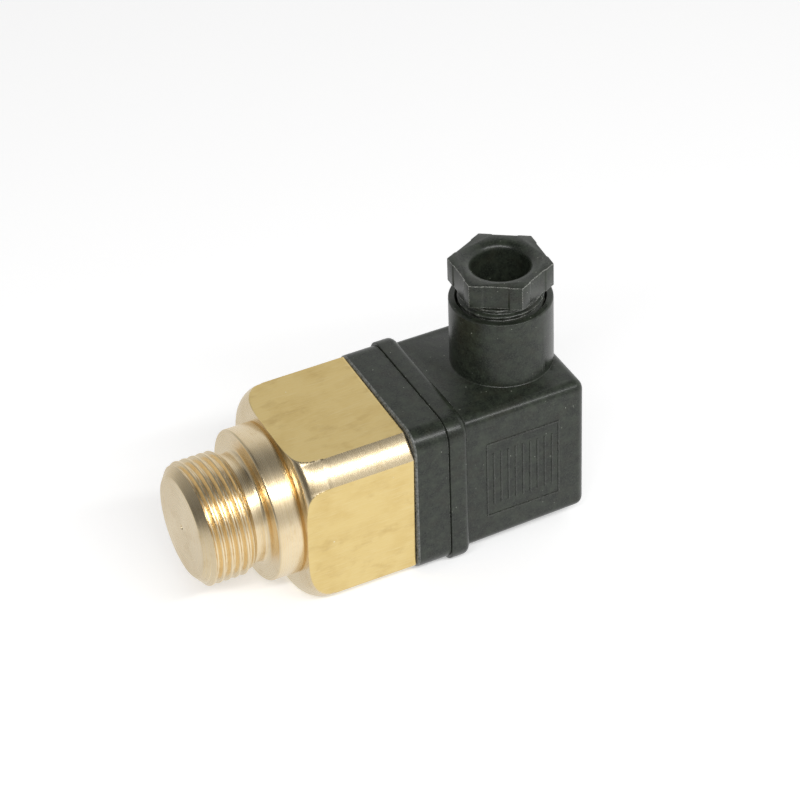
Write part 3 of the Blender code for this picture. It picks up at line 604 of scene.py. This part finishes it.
# ---- brass body --------------------------------------------------------------------------------
def block_section():
    """The block around the port axis, one column after another: the angle, the radius of the flat
    and of the turned corner there, how widely the nose runs into that corner, the easing of the
    flat's border, and whether the column is on a flat."""
    columns = []
    for side in range(4):
        before, after = CORNER_RADIUS, CORNER_RADIUS
        run_before, run_after = NOSE_RUN, NOSE_RUN
        if side == 1:
            after, run_after = WIDE_CORNER_RADIUS, WIDE_NOSE_RUN
        if side == 2:
            before, run_before = WIDE_CORNER_RADIUS, WIDE_NOSE_RUN
        middle = BLOCK_TURN + side * math.pi / 2
        low, high = -math.acos(BLOCK_HALF / before), math.acos(BLOCK_HALF / after)
        for i in range(FLAT_STEPS + 1):
            even = i / FLAT_STEPS
            closer_at_ends = 0.5 - 0.5 * math.cos(math.pi * even)
            share = 0.35 * even + 0.65 * closer_at_ends
            angle = low + (high - low) * share
            corner = before + (after - before) * share
            run = run_before + (run_after - run_before) * share
            ease = 0.1 * min(1.0, 0.05 + min(i, FLAT_STEPS - i) / 6)
            columns.append((middle + angle, BLOCK_HALF / math.cos(angle), corner, run, ease, i > 0))
        for share in np.linspace(0, 1, CORNER_STEPS + 1)[1:-1]:
            angle = high + (math.pi / 2 - math.acos(BLOCK_HALF / after) - high) * share
            crown = CORNER_CROWN * math.sin(math.pi * share) if side == 1 else 0.0
            columns.append((middle + angle, CORNER_RADIUS + 4, after + crown, run_after, 0.01, False))
    return np.array(columns).T


def smooth_least(a, b, blend):
    """The lesser of a and b, with the meeting line eased over blend."""
    share = np.clip(0.5 + 0.5 * (b - a) / blend, 0, 1)
    return b * (1 - share) + a * share - blend * share * (1 - share)


def thread_radius(x, angle):
    """A right-hand thread with eased crests and roots, chamfered at the start."""
    phase = ((x - PORT_END) / THREAD_PITCH - angle / (2 * math.pi)) % 1.0
    ramp = np.abs(phase - 0.5) * 2
    lift = np.clip((ramp - THREAD_CREST) / THREAD_FLANK, 0, 1)
    lift = 0.5 * lift + 0.5 * lift * lift * (3 - 2 * lift)
    radius = THREAD_RADIUS - THREAD_DEPTH * lift
    chamfer = PORT_FACE_RADIUS + (x - PORT_END) * THREAD_CHAMFER_SLOPE
    radius = smooth_least(radius, chamfer, 0.12)
    run_out = np.clip((x - GROOVE_START + THREAD_RUN_OUT) / THREAD_RUN_OUT, 0, 1)
    return radius - (radius - (THREAD_RADIUS - THREAD_DEPTH)) * run_out**2


def brass_rows():
    """The outline of the wall, from the pinhole out over the thread to the block, and back inside.
    Each row is (x, radius, kind). For a rim the radius is the inset from the block's outline, and
    for the back it is the share of the way in to the cavity."""
    rows = []

    def put(points, kind):
        rows.extend((x, r, kind) for x, r in points)

    # the pinhole's mouth and the port face
    put([(PORT_END + 0.15, PINHOLE_RADIUS), (PORT_END, PINHOLE_RADIUS + 0.12)], "turned")
    put([(PORT_END, r) for r in (0.8, 2.0, 4.0, 6.0, 8.0, 8.8)], "turned")
    put([(x, 0.0) for x in np.arange(PORT_END + 0.05, GROOVE_START, 0.06)], "thread")
    # the relief groove, with a round throat up to the collar
    root = THREAD_RADIUS - THREAD_DEPTH
    put(fillet(GROOVE_START + 0.05, root, GROOVE_START + 0.5, GROOVE_RADIUS, False, 6), "turned")
    put([(-2.0, GROOVE_RADIUS), (-1.4, GROOVE_RADIUS)], "turned")
    throat = 0.95
    put(fillet(-throat, GROOVE_RADIUS, 0.0, GROOVE_RADIUS + throat, False, 12), "turned")
    # the collar
    put([(0.0, 10.9), (0.0, 11.8), (0.0, 12.5)], "turned")
    lip = 0.42
    put(fillet(0.0, COLLAR_RADIUS - lip, lip, COLLAR_RADIUS, True, 6), "turned")
    put([(lip + 0.3, COLLAR_RADIUS), (1.6, COLLAR_RADIUS), (3.4, COLLAR_RADIUS)], "turned")
    rear = 0.32
    put([(COLLAR_LENGTH - rear - 0.2, COLLAR_RADIUS)], "turned")
    put([(COLLAR_LENGTH - rear, COLLAR_RADIUS - 0.02)], "turned")
    put([(COLLAR_LENGTH - 0.06, COLLAR_RADIUS - rear)], "turned")
    put([(COLLAR_LENGTH, COLLAR_RADIUS - rear - 0.03)], "turned")
    # the turned nose, which runs out into the block's corners
    put([(COLLAR_LENGTH, NOSE_START)], "block")
    for angle in np.linspace(0.02, math.pi / 2, 70):
        x = COLLAR_LENGTH + NOSE_LENGTH * (1 - math.cos(angle))
        put([(x, NOSE_START + (CORNER_RADIUS - NOSE_START) * math.sin(angle))], "block")
    nose_end = COLLAR_LENGTH + NOSE_LENGTH
    put([(nose_end + d, CORNER_RADIUS + d) for d in np.linspace(0.1, 2.0, 14)], "block")
    # the block, its rear rim and its rear face
    for x in (13.0, 16.0, 20.0, BLOCK_END - 0.5, BLOCK_END - 0.22):
        put([(x, CORNER_RADIUS + 2)], "block")
    put([(BLOCK_END - 0.1, 0.09), (BLOCK_END, 0.25)], "rim")
    put([(BLOCK_END, 0.5), (BLOCK_END, 1.0)], "back")
    inside = [
        (CAVITY_START, CAVITY_RADIUS), (CAVITY_START, SEAT_RADIUS), (SEAT_START, SEAT_RADIUS),
        (SEAT_START, CHAMBER_RADIUS), (CHAMBER_START, CHAMBER_RADIUS),
        (CHAMBER_START, PINHOLE_RADIUS),
    ]
    put(inside, "bore")
    return rows


def make_brass_body():
    angles, flats, corners, runs, ease, on_flat = block_section()
    square = np.minimum(flats, corners)
    rows = brass_rows()
    points = np.zeros((len(rows), len(angles), 3))
    slots = np.zeros((len(rows), len(angles)))
    for i, (x, radius, kind) in enumerate(rows):
        if kind == "thread":
            r = thread_radius(x, angles)
        elif kind == "block":
            turned_radius = smooth_least(radius, corners, runs)
            r = smooth_least(turned_radius, flats, ease)
            slots[i] = on_flat * (flats < turned_radius + 0.02)
        elif kind == "rim":
            r = square - radius
            slots[i] = on_flat
        elif kind == "back":
            r = square + (CAVITY_RADIUS - square) * radius
        else:
            r = np.full_like(angles, radius)
        points[i, :, 0] = x
        points[i, :, 1] = r * np.cos(angles)
        points[i, :, 2] = r * np.sin(angles)
    body = link("brass_shell", mesh_from_grid("brass_shell", points[:, ::-1], slots[:, ::-1]))
    body.data.materials.append(turned_brass())
    body.data.materials.append(milled_brass())
    holes = bmesh.new()
    screw_hole = [
        (17.5, 0.0), (18.2, BASE_SCREW_BORE), (BLOCK_END + 1, BASE_SCREW_BORE), (BLOCK_END + 1, 0.0),
    ]
    for centre in BASE_SCREW_CENTRES:
        turned(holes, screw_hole, centre=centre, count=24)
    combine(body, holes, "DIFFERENCE")
    shade(body, 40)
    crisp_borders(body)
    return body


# ---- plug base ---------------------------------------------------------------------------------
def flat_bar(bm, x0, x1, y, z, wide_y, width, thickness):
    """A bar along X, with its width along Y or else along Z."""
    half_y = width / 2 if wide_y else thickness / 2
    half_z = thickness / 2 if wide_y else width / 2
    block(bm, (x0, y - half_y, z - half_z), (x1, y + half_y, z + half_z))


def make_plug_base():
    bevel, steps = 0.5, 6
    sections = []
    for i in range(steps + 1):
        angle = math.pi / 2 * i / steps
        inset = bevel * (1 - math.sin(angle))
        x = BASE_FRONT + bevel * (1 - math.cos(angle))
        sections.append((x, BASE_HALF - inset, BASE_CORNER - inset))
    small = 0.05
    sections.append((BASE_END - small, BASE_HALF, BASE_CORNER))
    sections.append((BASE_END, BASE_HALF - small, BASE_CORNER - small))
    bm = bmesh.new()
    square_loft(bm, sections)
    base = from_bmesh("plug_base_shell", bm)
    spigot = bmesh.new()
    chamfer = 0.3
    groove_start, groove_end, groove_radius = SEAL_GROOVE
    turned(spigot, [
        (SPIGOT_START, 0.0), (SPIGOT_START, SPIGOT_RADIUS - chamfer),
        (SPIGOT_START + chamfer, SPIGOT_RADIUS), (groove_start, SPIGOT_RADIUS),
        (groove_start, groove_radius), (groove_end, groove_radius), (groove_end, SPIGOT_RADIUS),
        (26.0, SPIGOT_RADIUS), (26.0, 0.0),
    ])
    combine(base, spigot, "UNION")
    pedestal = bmesh.new()
    edge = 0.4
    square_loft(pedestal, [
        (30.0, PEDESTAL_HALF, PEDESTAL_CORNER), (PEDESTAL_END - edge, PEDESTAL_HALF, PEDESTAL_CORNER),
        (PEDESTAL_END, PEDESTAL_HALF - edge, PEDESTAL_CORNER - edge),
    ])
    combine(base, pedestal, "UNION")
    hollow = bmesh.new()
    turned(hollow, [
        (20.0, 0.0), (20.0, BASE_HOLLOW_RADIUS), (BASE_FLOOR, BASE_HOLLOW_RADIUS), (BASE_FLOOR, 0.0),
    ])
    combine(base, hollow, "DIFFERENCE")
    ribs = bmesh.new()
    for y0, y1 in ((-4.5, -3.4), (3.4, 4.5)):
        block(ribs, (24.4, y0, -5.0), (29.3, y1, 5.0))
    combine(base, ribs, "UNION")
    holes = bmesh.new()
    inside, above = BASE_FLOOR - 1, PEDESTAL_END + 1
    tip, shank, seat, countersink = 1.6, 2.7, 29.6, 0.3
    insert_hole = [
        (inside, 0.0), (inside, tip), (seat, tip), (seat, shank), (PEDESTAL_END - countersink, shank),
        (PEDESTAL_END, shank + countersink), (above, shank + countersink), (above, 0.0),
    ]
    turned(holes, insert_hole, count=48)
    shank, head, seat = 1.45, 2.5, 29.4
    screw_hole = [
        (24.0, 0.0), (24.0, shank), (seat, shank), (seat, head), (31.6, head), (31.6, 0.0),
    ]
    for centre in BASE_SCREW_CENTRES:
        turned(holes, screw_hole, centre=centre, count=32)
    for y, z, wide_y in PIN_PLACES:
        flat_bar(holes, inside, above, y, z, wide_y, *PIN_SLOT)
    combine(base, holes, "DIFFERENCE")
    shade(base, 35)
    return base


# ---- socket housing ----------------------------------------------------------------------------
def flange_rings():
    front = HOUSING_LOW.x
    small, steps = 0.14, 4
    sections = []
    for i in range(steps + 1):
        angle = math.pi / 2 * i / steps
        inset = small * (1 - math.sin(angle))
        x = front + small * (1 - math.cos(angle))
        sections.append((x, FLANGE_HALF - inset, BASE_CORNER - inset))
    sections += arc_sections(FLANGE_END, FLANGE_HALF, BASE_CORNER, 1.2, 10)
    rings = []
    for x, half, corner in sections:
        rings.append([along_x(p) for p in rounded_rectangle(half, half, corner, x)])
    return rings


def box_side(x):
    share = (x - FLANGE_END) / (BOX_END - FLANGE_END)
    return BOX_SIDE[0] + (BOX_SIDE[1] - BOX_SIDE[0]) * share


def box_ring(x, inset):
    """Outline of the box at x, drawn in by inset. Its side walls and its bottom taper."""
    share = (x - FLANGE_END) / (BOX_END - FLANGE_END)
    side = box_side(x) - inset
    bottom = BOX_BOTTOM[0] + (BOX_BOTTOM[1] - BOX_BOTTOM[0]) * share - inset
    top = BOX_TOP - inset
    middle = (0.0, 0.0, (top - bottom) / 2)
    outline = rounded_rectangle(side, (top + bottom) / 2, BOX_CORNER - inset, x)
    return [along_x(p, middle) for p in outline]


def housing_rings():
    rings = flange_rings()
    root, steps = 0.3, 4
    for i in range(steps + 1):
        angle = math.pi / 2 * i / steps
        rise = root * math.sin(angle)
        rings.append(box_ring(FLANGE_END + rise, rise - root))
    steps = 12
    for i in range(steps + 1):
        angle = math.pi / 2 * i / steps
        x = BOX_END - BOX_EDGE * (1 - math.sin(angle))
        rings.append(box_ring(x, BOX_EDGE * (1 - math.cos(angle))))
    return rings


def foot_fillet(bm):
    """The soft foot of the gland tube on the box, fading out towards the end wall."""
    count, steps = 96, 8
    smallest, growth = 0.05, 0.40
    inner, buried = TUBE_RADIUS - 0.6, BOX_TOP - 0.7
    rings = []
    for i in range(count):
        angle = 2 * math.pi * i / count
        away = max(0.0, 0.5 - 0.5 * math.cos(angle))
        size = smallest + growth * min(1.0, away * 2.2)
        section = [(inner, buried), (inner, BOX_TOP + size)]
        for k in range(steps + 1):
            turn = math.pi / 2 * k / steps
            out, up = size * (1 - math.cos(turn)), size * (1 - math.sin(turn))
            section.append((TUBE_RADIUS + out - 0.03, BOX_TOP + up - 0.04))
        section.append((TUBE_RADIUS + size - 0.02, buried))
        rings.append([(GLAND_X + r * math.cos(angle), r * math.sin(angle), z) for r, z in section])
    skin(bm, rings, closed=True)


def tube_profile():
    """The gland tube, narrowed inside the box so that it stays within the end wall."""
    within_wall = BOX_END - GLAND_X - 0.2
    rim = 0.32
    profile = [(6.4, 0.0), (6.4, within_wall)]
    profile += [(9.2, TUBE_RADIUS + 0.03), (TUBE_RIM - rim, TUBE_RADIUS)]
    profile += fillet(TUBE_RIM - rim, TUBE_RADIUS, TUBE_RIM, TUBE_RADIUS - rim, False, 8)[1:]
    profile.append((TUBE_RIM, 0.0))
    return profile


def panel(bm):
    """A plain frame around evenly spaced upright ribs, on the box's front side."""
    proud, deep, bar = 0.13, 0.5, 0.26
    gap, margin = 0.02, 2.4

    def raised_bar(x0, x1, z0, z1):
        ring = ((x0, z0), (x1, z0), (x1, z1), (x0, z1))
        outer = [(x, -box_side(x) - proud, z) for x, z in ring]
        inner = [(x, -box_side(x) + deep, z) for x, z in ring]
        skin(bm, [inner, outer])

    left, right, low, high = 39.2, 53.4, -8.2, 7.6
    raised_bar(left, right, high - bar, high)
    raised_bar(left, right, low, low + bar)
    raised_bar(left, left + bar, low + bar + gap, high - bar - gap)
    raised_bar(right - bar, right, low + bar + gap, high - bar - gap)
    ribs = 9
    for i in range(ribs):
        x = left + (right - left) * (i + 1) / (ribs + 1) - bar / 2
        raised_bar(x, x + bar, low + margin, high - margin)


def make_housing():
    bm = bmesh.new()
    skin(bm, housing_rings())
    housing = from_bmesh("socket_shell", bm)
    tube = bmesh.new()
    turned(tube, tube_profile(), along_z, (GLAND_X, 0, 0), 128)
    combine(housing, tube, "UNION")
    foot = bmesh.new()
    foot_fillet(foot)
    combine(housing, foot, "UNION")
    hollow = bmesh.new()
    square_loft(hollow, [
        (30.0, GASKET_HALF, 2.7), (GASKET_SEAT, GASKET_HALF, 2.7), (GASKET_SEAT, HOLLOW_HALF, 2.5),
        (HOLLOW_END, HOLLOW_HALF, 2.5),
    ], 6)
    combine(housing, hollow, "DIFFERENCE")
    boss = bmesh.new()
    boss_end = HOLLOW_END + 0.5
    turned(boss, [
        (SCREW_BOSS_START, 0.0), (SCREW_BOSS_START, SCREW_BOSS_RADIUS),
        (boss_end, SCREW_BOSS_RADIUS), (boss_end, 0.0),
    ], count=48)
    combine(housing, boss, "UNION")
    bores = bmesh.new()
    mouth = TUBE_BORE + 0.2
    throat = [
        (10.0, 0.0), (10.0, CABLE_BORE), (GROMMET_SEAT, CABLE_BORE), (GROMMET_SEAT, TUBE_BORE),
        (TUBE_RIM - 0.25, TUBE_BORE), (TUBE_RIM, mouth), (TUBE_RIM + 1, mouth), (TUBE_RIM + 1, 0.0),
    ]
    turned(bores, throat, along_z, (GLAND_X, 0, 0), 96)
    edge = 0.3
    screw_bore = [
        (SCREW_BOSS_START - 1, 0.0), (SCREW_BOSS_START - 1, SCREW_SHANK_BORE),
        (SCREW_SEAT, SCREW_SHANK_BORE), (SCREW_SEAT, SCREW_HEAD_BORE),
        (BOX_END - edge, SCREW_HEAD_BORE), (BOX_END, SCREW_HEAD_BORE + edge),
        (BOX_END + 1, SCREW_HEAD_BORE + edge), (BOX_END + 1, 0.0),
    ]
    turned(bores, screw_bore, count=64)
    combine(housing, bores, "DIFFERENCE")
    marks = bmesh.new()
    panel(marks)
    combine(housing, marks, "UNION")
    shade(housing, 30)
    return housing


# ---- gland nut ---------------------------------------------------------------------------------
def hexagon_ring(w):
    """The nut's hexagon at height w, with a shallow recess in the middle of each side."""
    recess = 0.15
    points = []
    for side in range(6):
        a0 = NUT_TURN + side * math.pi / 3
        a1 = a0 + math.pi / 3
        start = (NUT_CORNER * math.cos(a0), NUT_CORNER * math.sin(a0))
        end = (NUT_CORNER * math.cos(a1), NUT_CORNER * math.sin(a1))
        middle = (a0 + a1) / 2
        for share, depth in ((0.0, 0.0), (0.24, 0.0), (0.27, 1.0), (0.73, 1.0), (0.76, 0.0)):
            u = start[0] + (end[0] - start[0]) * share - math.cos(middle) * recess * depth
            v = start[1] + (end[1] - start[1]) * share - math.sin(middle) * recess * depth
            points.append((u, v, w))
    return points


def neck_radius(z, angle):
    """The neck's right-hand thread, which grows from nothing at its lower end."""
    phase = ((z - NUT_LOW.z) / GLAND_PITCH - angle / (2 * math.pi)) % 1.0
    lift = np.clip(np.abs(phase - 0.5) * 2 * 1.35 - 0.15, 0, 1)
    lift = lift * lift * (3 - 2 * lift)
    start = np.clip((z - NUT_LOW.z) / 0.8, 0, 1)
    return NECK_ROOT + NECK_DEPTH * (1 - lift) * start


def gland_neck():
    """The nut's threaded neck, closed at both ends."""
    angles = np.linspace(0, 2 * math.pi, 128, endpoint=False)
    heights = np.arange(NUT_LOW.z, NUT_BOTTOM + 0.5, 0.08)
    within_bore = np.full_like(angles, 4.0)
    rows = [within_bore] + [neck_radius(z, angles) for z in heights] + [within_bore]
    levels = np.concatenate([[heights[0]], heights, [heights[-1]]])
    points = np.stack([
        np.stack([GLAND_X + r * np.cos(angles), r * np.sin(angles), np.full_like(angles, z)], axis=-1)
        for r, z in zip(rows, levels)
    ])
    bm = bmesh.new()
    mesh = mesh_from_grid("neck", points)
    bm.from_mesh(mesh)
    bpy.data.meshes.remove(mesh)
    return bm


def make_gland_nut():
    centre = (GLAND_X, 0.0, 0.0)
    bm = bmesh.new()
    skin(bm, [[along_z(p, centre) for p in hexagon_ring(w)] for w in (NUT_BOTTOM, NUT_TOP)])
    nut = from_bmesh("gland_nut_shell", bm)
    soften(nut, 0.09, 20)
    apply_modifiers(nut)
    combine(nut, gland_neck(), "UNION")
    bore = bmesh.new()
    funnel = [(21.0, 0.0), (21.0, NUT_BORE)]
    for angle in np.linspace(0.0, 1.45, 14):
        z = NUT_TOP - FUNNEL_DEPTH + FUNNEL_DEPTH * math.sin(angle)
        funnel.append((z, NUT_BORE + FUNNEL_FLARE * (1 - math.cos(angle))))
    funnel += [(NUT_TOP + 0.02, 6.62), (NUT_TOP + 1, 7.0), (NUT_TOP + 1, 0.0)]
    turned(bore, funnel, along_z, centre, 96)
    combine(nut, bore, "DIFFERENCE")
    shade(nut, 30)
    return nut


# ---- range spring ------------------------------------------------------------------------------
SPRING_LOW, SPRING_HIGH = box_mm("range_spring")
SPRING_WIRE = 0.58
SPRING_TURNS = 3.5
SPRING_END_PITCH = 1.27
SPRING_FIRM_END = 1.4


def spring_coil(first_turn, last_turn):
    """A stretch of the coil, which has a close turn at each end and wider ones between."""
    margin = SPRING_WIRE + 0.02
    open_turns = SPRING_TURNS - 2.0
    open_pitch = (SPRING_HIGH.x - SPRING_LOW.x - 2 * margin - 2 * SPRING_END_PITCH) / open_turns
    radius = SPRING_HIGH.y - margin
    rings = []
    for turn in np.linspace(first_turn, last_turn, 64):
        closed = min(turn, 1.0) + max(turn - 1.0 - open_turns, 0.0)
        opened = min(max(turn - 1.0, 0.0), open_turns)
        pitch = open_pitch if 1.0 < turn < 1.0 + open_turns else SPRING_END_PITCH
        angle = 2 * math.pi * turn
        outward = Vector((0.0, math.cos(angle), math.sin(angle)))
        climb = pitch / (2 * math.pi * radius)
        run = Vector((climb, -math.sin(angle), math.cos(angle))).normalized()
        across = run.cross(outward)
        centre = outward * radius
        centre.x = SPRING_LOW.x + margin + closed * SPRING_END_PITCH + opened * open_pitch
        rings.append([
            centre + SPRING_WIRE * (outward * math.cos(a) + across * math.sin(a))
            for a in np.linspace(0, 2 * math.pi, 12, endpoint=False)
        ])
    bm = bmesh.new()
    skin(bm, rings)
    return bm


def make_range_spring():
    """Two halves of the coil that meet mid-coil."""
    half_way = SPRING_TURNS / 2
    firm_front, firm_rear = SPRING_LOW.x + SPRING_FIRM_END, SPRING_HIGH.x - SPRING_FIRM_END
    halves = (
        ("range_spring_front", 0.0, half_way, "piston_body", firm_front),
        ("range_spring_rear", half_way, SPRING_TURNS, "spring_seat_body", firm_rear),
    )
    for name, first_turn, last_turn, body, firm_from in halves:
        half = from_bmesh(name, spring_coil(first_turn, last_turn))
        shade(half, 40)
        half.data.materials.append(FINISHES["spring_steel"])
        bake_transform(half)
        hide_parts("range_spring")


# ---- assembly ----------------------------------------------------------------------------------
def stand_in(piece, node, material=None):
    """piece takes the place of a CAD node, on that node's body."""
    if material:
        piece.data.materials.clear()
        piece.data.materials.append(material)
    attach(piece, BODY_OF[node])
    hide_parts(node)


stand_in(make_brass_body(), "brass_body")
stand_in(make_plug_base(), "plug_base", FINISHES["black_nylon"])
stand_in(make_housing(), "socket_housing", FINISHES["fresh_nylon"])
stand_in(make_gland_nut(), "gland_nut", FINISHES["rubbed_nylon_painted_highlight"])
make_range_spring()

for name, obj in NODES.items():
    if obj.hide_render:
        continue
    obj.data.materials.clear()
    obj.data.materials.append(FINISHES[SLOT_OF[name]])
    shade(obj, 35)
    soften(obj, 0.06, 40)


# ---- stage, lights and camera ------------------------------------------------------------------
LIT_POINT = (22.0, 0.0, 0.0)


def make_floor():
    bm = bmesh.new()
    size, depth = 900.0, HOUSING_LOW.z - 0.02
    block(bm, (-size, -size, depth - 5.0), (size, size, depth))
    floor = from_bmesh("floor", bm)
    finish = Finish("floor_paint", (0.90, 0.90, 0.90), 0.55)
    finish.rougher(finish.noise((0.05, 0.05, 0.05), 2.0), 0.1)
    finish.shader.inputs["Emission Color"].default_value = (1.0, 1.0, 1.0, 1.0)
    finish.shader.inputs["Emission Strength"].default_value = 0.42
    floor.data.materials.append(finish.done())
    floor.visible_glossy = False
    floor.visible_diffuse = False


def make_world():
    """A room: white table below, pale wall behind and to the right, dark above and to the left."""
    world = bpy.data.worlds.new("studio")
    bpy.context.scene.world = world
    world.use_nodes = True
    tree = world.node_tree
    direction = tree.nodes.new("ShaderNodeTexCoord").outputs["Generated"]

    def operation(name, *values):
        node = tree.nodes.new("ShaderNodeMath")
        node.operation = name
        for slot, value in enumerate(values):
            if isinstance(value, float):
                node.inputs[slot].default_value = value
            else:
                tree.links.new(value, node.inputs[slot])
        return node.outputs[0]

    def along(axis):
        node = tree.nodes.new("ShaderNodeVectorMath")
        node.operation = "DOT_PRODUCT"
        tree.links.new(direction, node.inputs[0])
        node.inputs[1].default_value = axis
        return node.outputs["Value"]

    def eased(value, low, high):
        node = tree.nodes.new("ShaderNodeMapRange")
        node.interpolation_type = "SMOOTHSTEP"
        tree.links.new(value, node.inputs["Value"])
        node.inputs["From Min"].default_value = low
        node.inputs["From Max"].default_value = high
        return node.outputs[0]

    height = along((0.0, 0.0, 1.0))
    wall = operation("MULTIPLY_ADD", along((0.8, 0.35, 0.0)), 0.5, 0.5)
    wall = operation("MULTIPLY_ADD", eased(height, 0.70, 0.95), -0.5, wall)
    wall = operation("MAXIMUM", wall, 0.04)
    table = operation("MULTIPLY_ADD", along((0.8, -0.5, 0.0)), 0.24, 0.88)
    share = eased(height, -0.15, 0.0)
    level = operation("ADD", operation("MULTIPLY", wall, share),
                      operation("MULTIPLY", table, operation("SUBTRACT", 1.0, share)))
    tree.links.new(level, tree.nodes["Background"].inputs["Strength"])
    tree.nodes["Background"].inputs["Color"].default_value = (1.0, 1.0, 1.0, 1.0)


def soft_light(name, azimuth, elevation, distance, width, height, radiance):
    """A panel facing the part. Azimuth is in degrees from -Y towards +X, lengths in millimetres."""
    turn, rise = math.radians(azimuth), math.radians(elevation)
    level = math.cos(rise)
    towards = Vector((level * math.sin(turn), -level * math.cos(turn), math.sin(rise)))
    data = bpy.data.lights.new(name, "AREA")
    data.shape = "RECTANGLE"
    data.size = width * MM
    data.size_y = height * MM
    data.energy = radiance * math.pi * data.size * data.size_y
    light = bpy.data.objects.new(name, data)
    light.location = (DATUM + Vector(LIT_POINT) + towards * distance) * MM
    light.rotation_euler = (-towards).to_track_quat("-Z", "Y").to_euler()
    bpy.context.scene.collection.objects.link(light)


def make_camera():
    """Looks down on the port end, from the -Y side."""
    azimuth = math.radians(-25.416)
    elevation = math.radians(37.462)
    roll = math.radians(-2.142)
    distance, shift_right, shift_up, lens = 577.378, 3.884, 10.642, 150.08
    aim = Vector((BLOCK_END, 0.0, 0.0))
    back = Vector((
        math.sin(azimuth) * math.cos(elevation),
        -math.cos(azimuth) * math.cos(elevation),
        math.sin(elevation),
    ))
    level_right = Vector((math.cos(azimuth), math.sin(azimuth), 0.0))
    level_up = back.cross(level_right)
    right = level_right * math.cos(roll) + level_up * math.sin(roll)
    up = level_up * math.cos(roll) - level_right * math.sin(roll)
    place = (DATUM + aim + back * distance + right * shift_right + up * shift_up) * MM
    data = bpy.data.cameras.new("camera")
    data.lens = lens
    data.sensor_width = 36.0
    data.clip_start = 0.01
    data.clip_end = 10.0
    camera = bpy.data.objects.new("camera", data)
    camera.matrix_world = Matrix((
        (right.x, up.x, back.x, place.x),
        (right.y, up.y, back.y, place.y),
        (right.z, up.z, back.z, place.z),
        (0.0, 0.0, 0.0, 1.0),
    ))
    bpy.context.scene.collection.objects.link(camera)
    bpy.context.scene.camera = camera


make_floor()
make_world()
soft_light(
    "key_strip", azimuth=-12.0, elevation=48.0, distance=450.0, width=700.0, height=42.0, radiance=16.5
)
make_camera()
bpy.context.scene.view_settings.view_transform = "Standard"
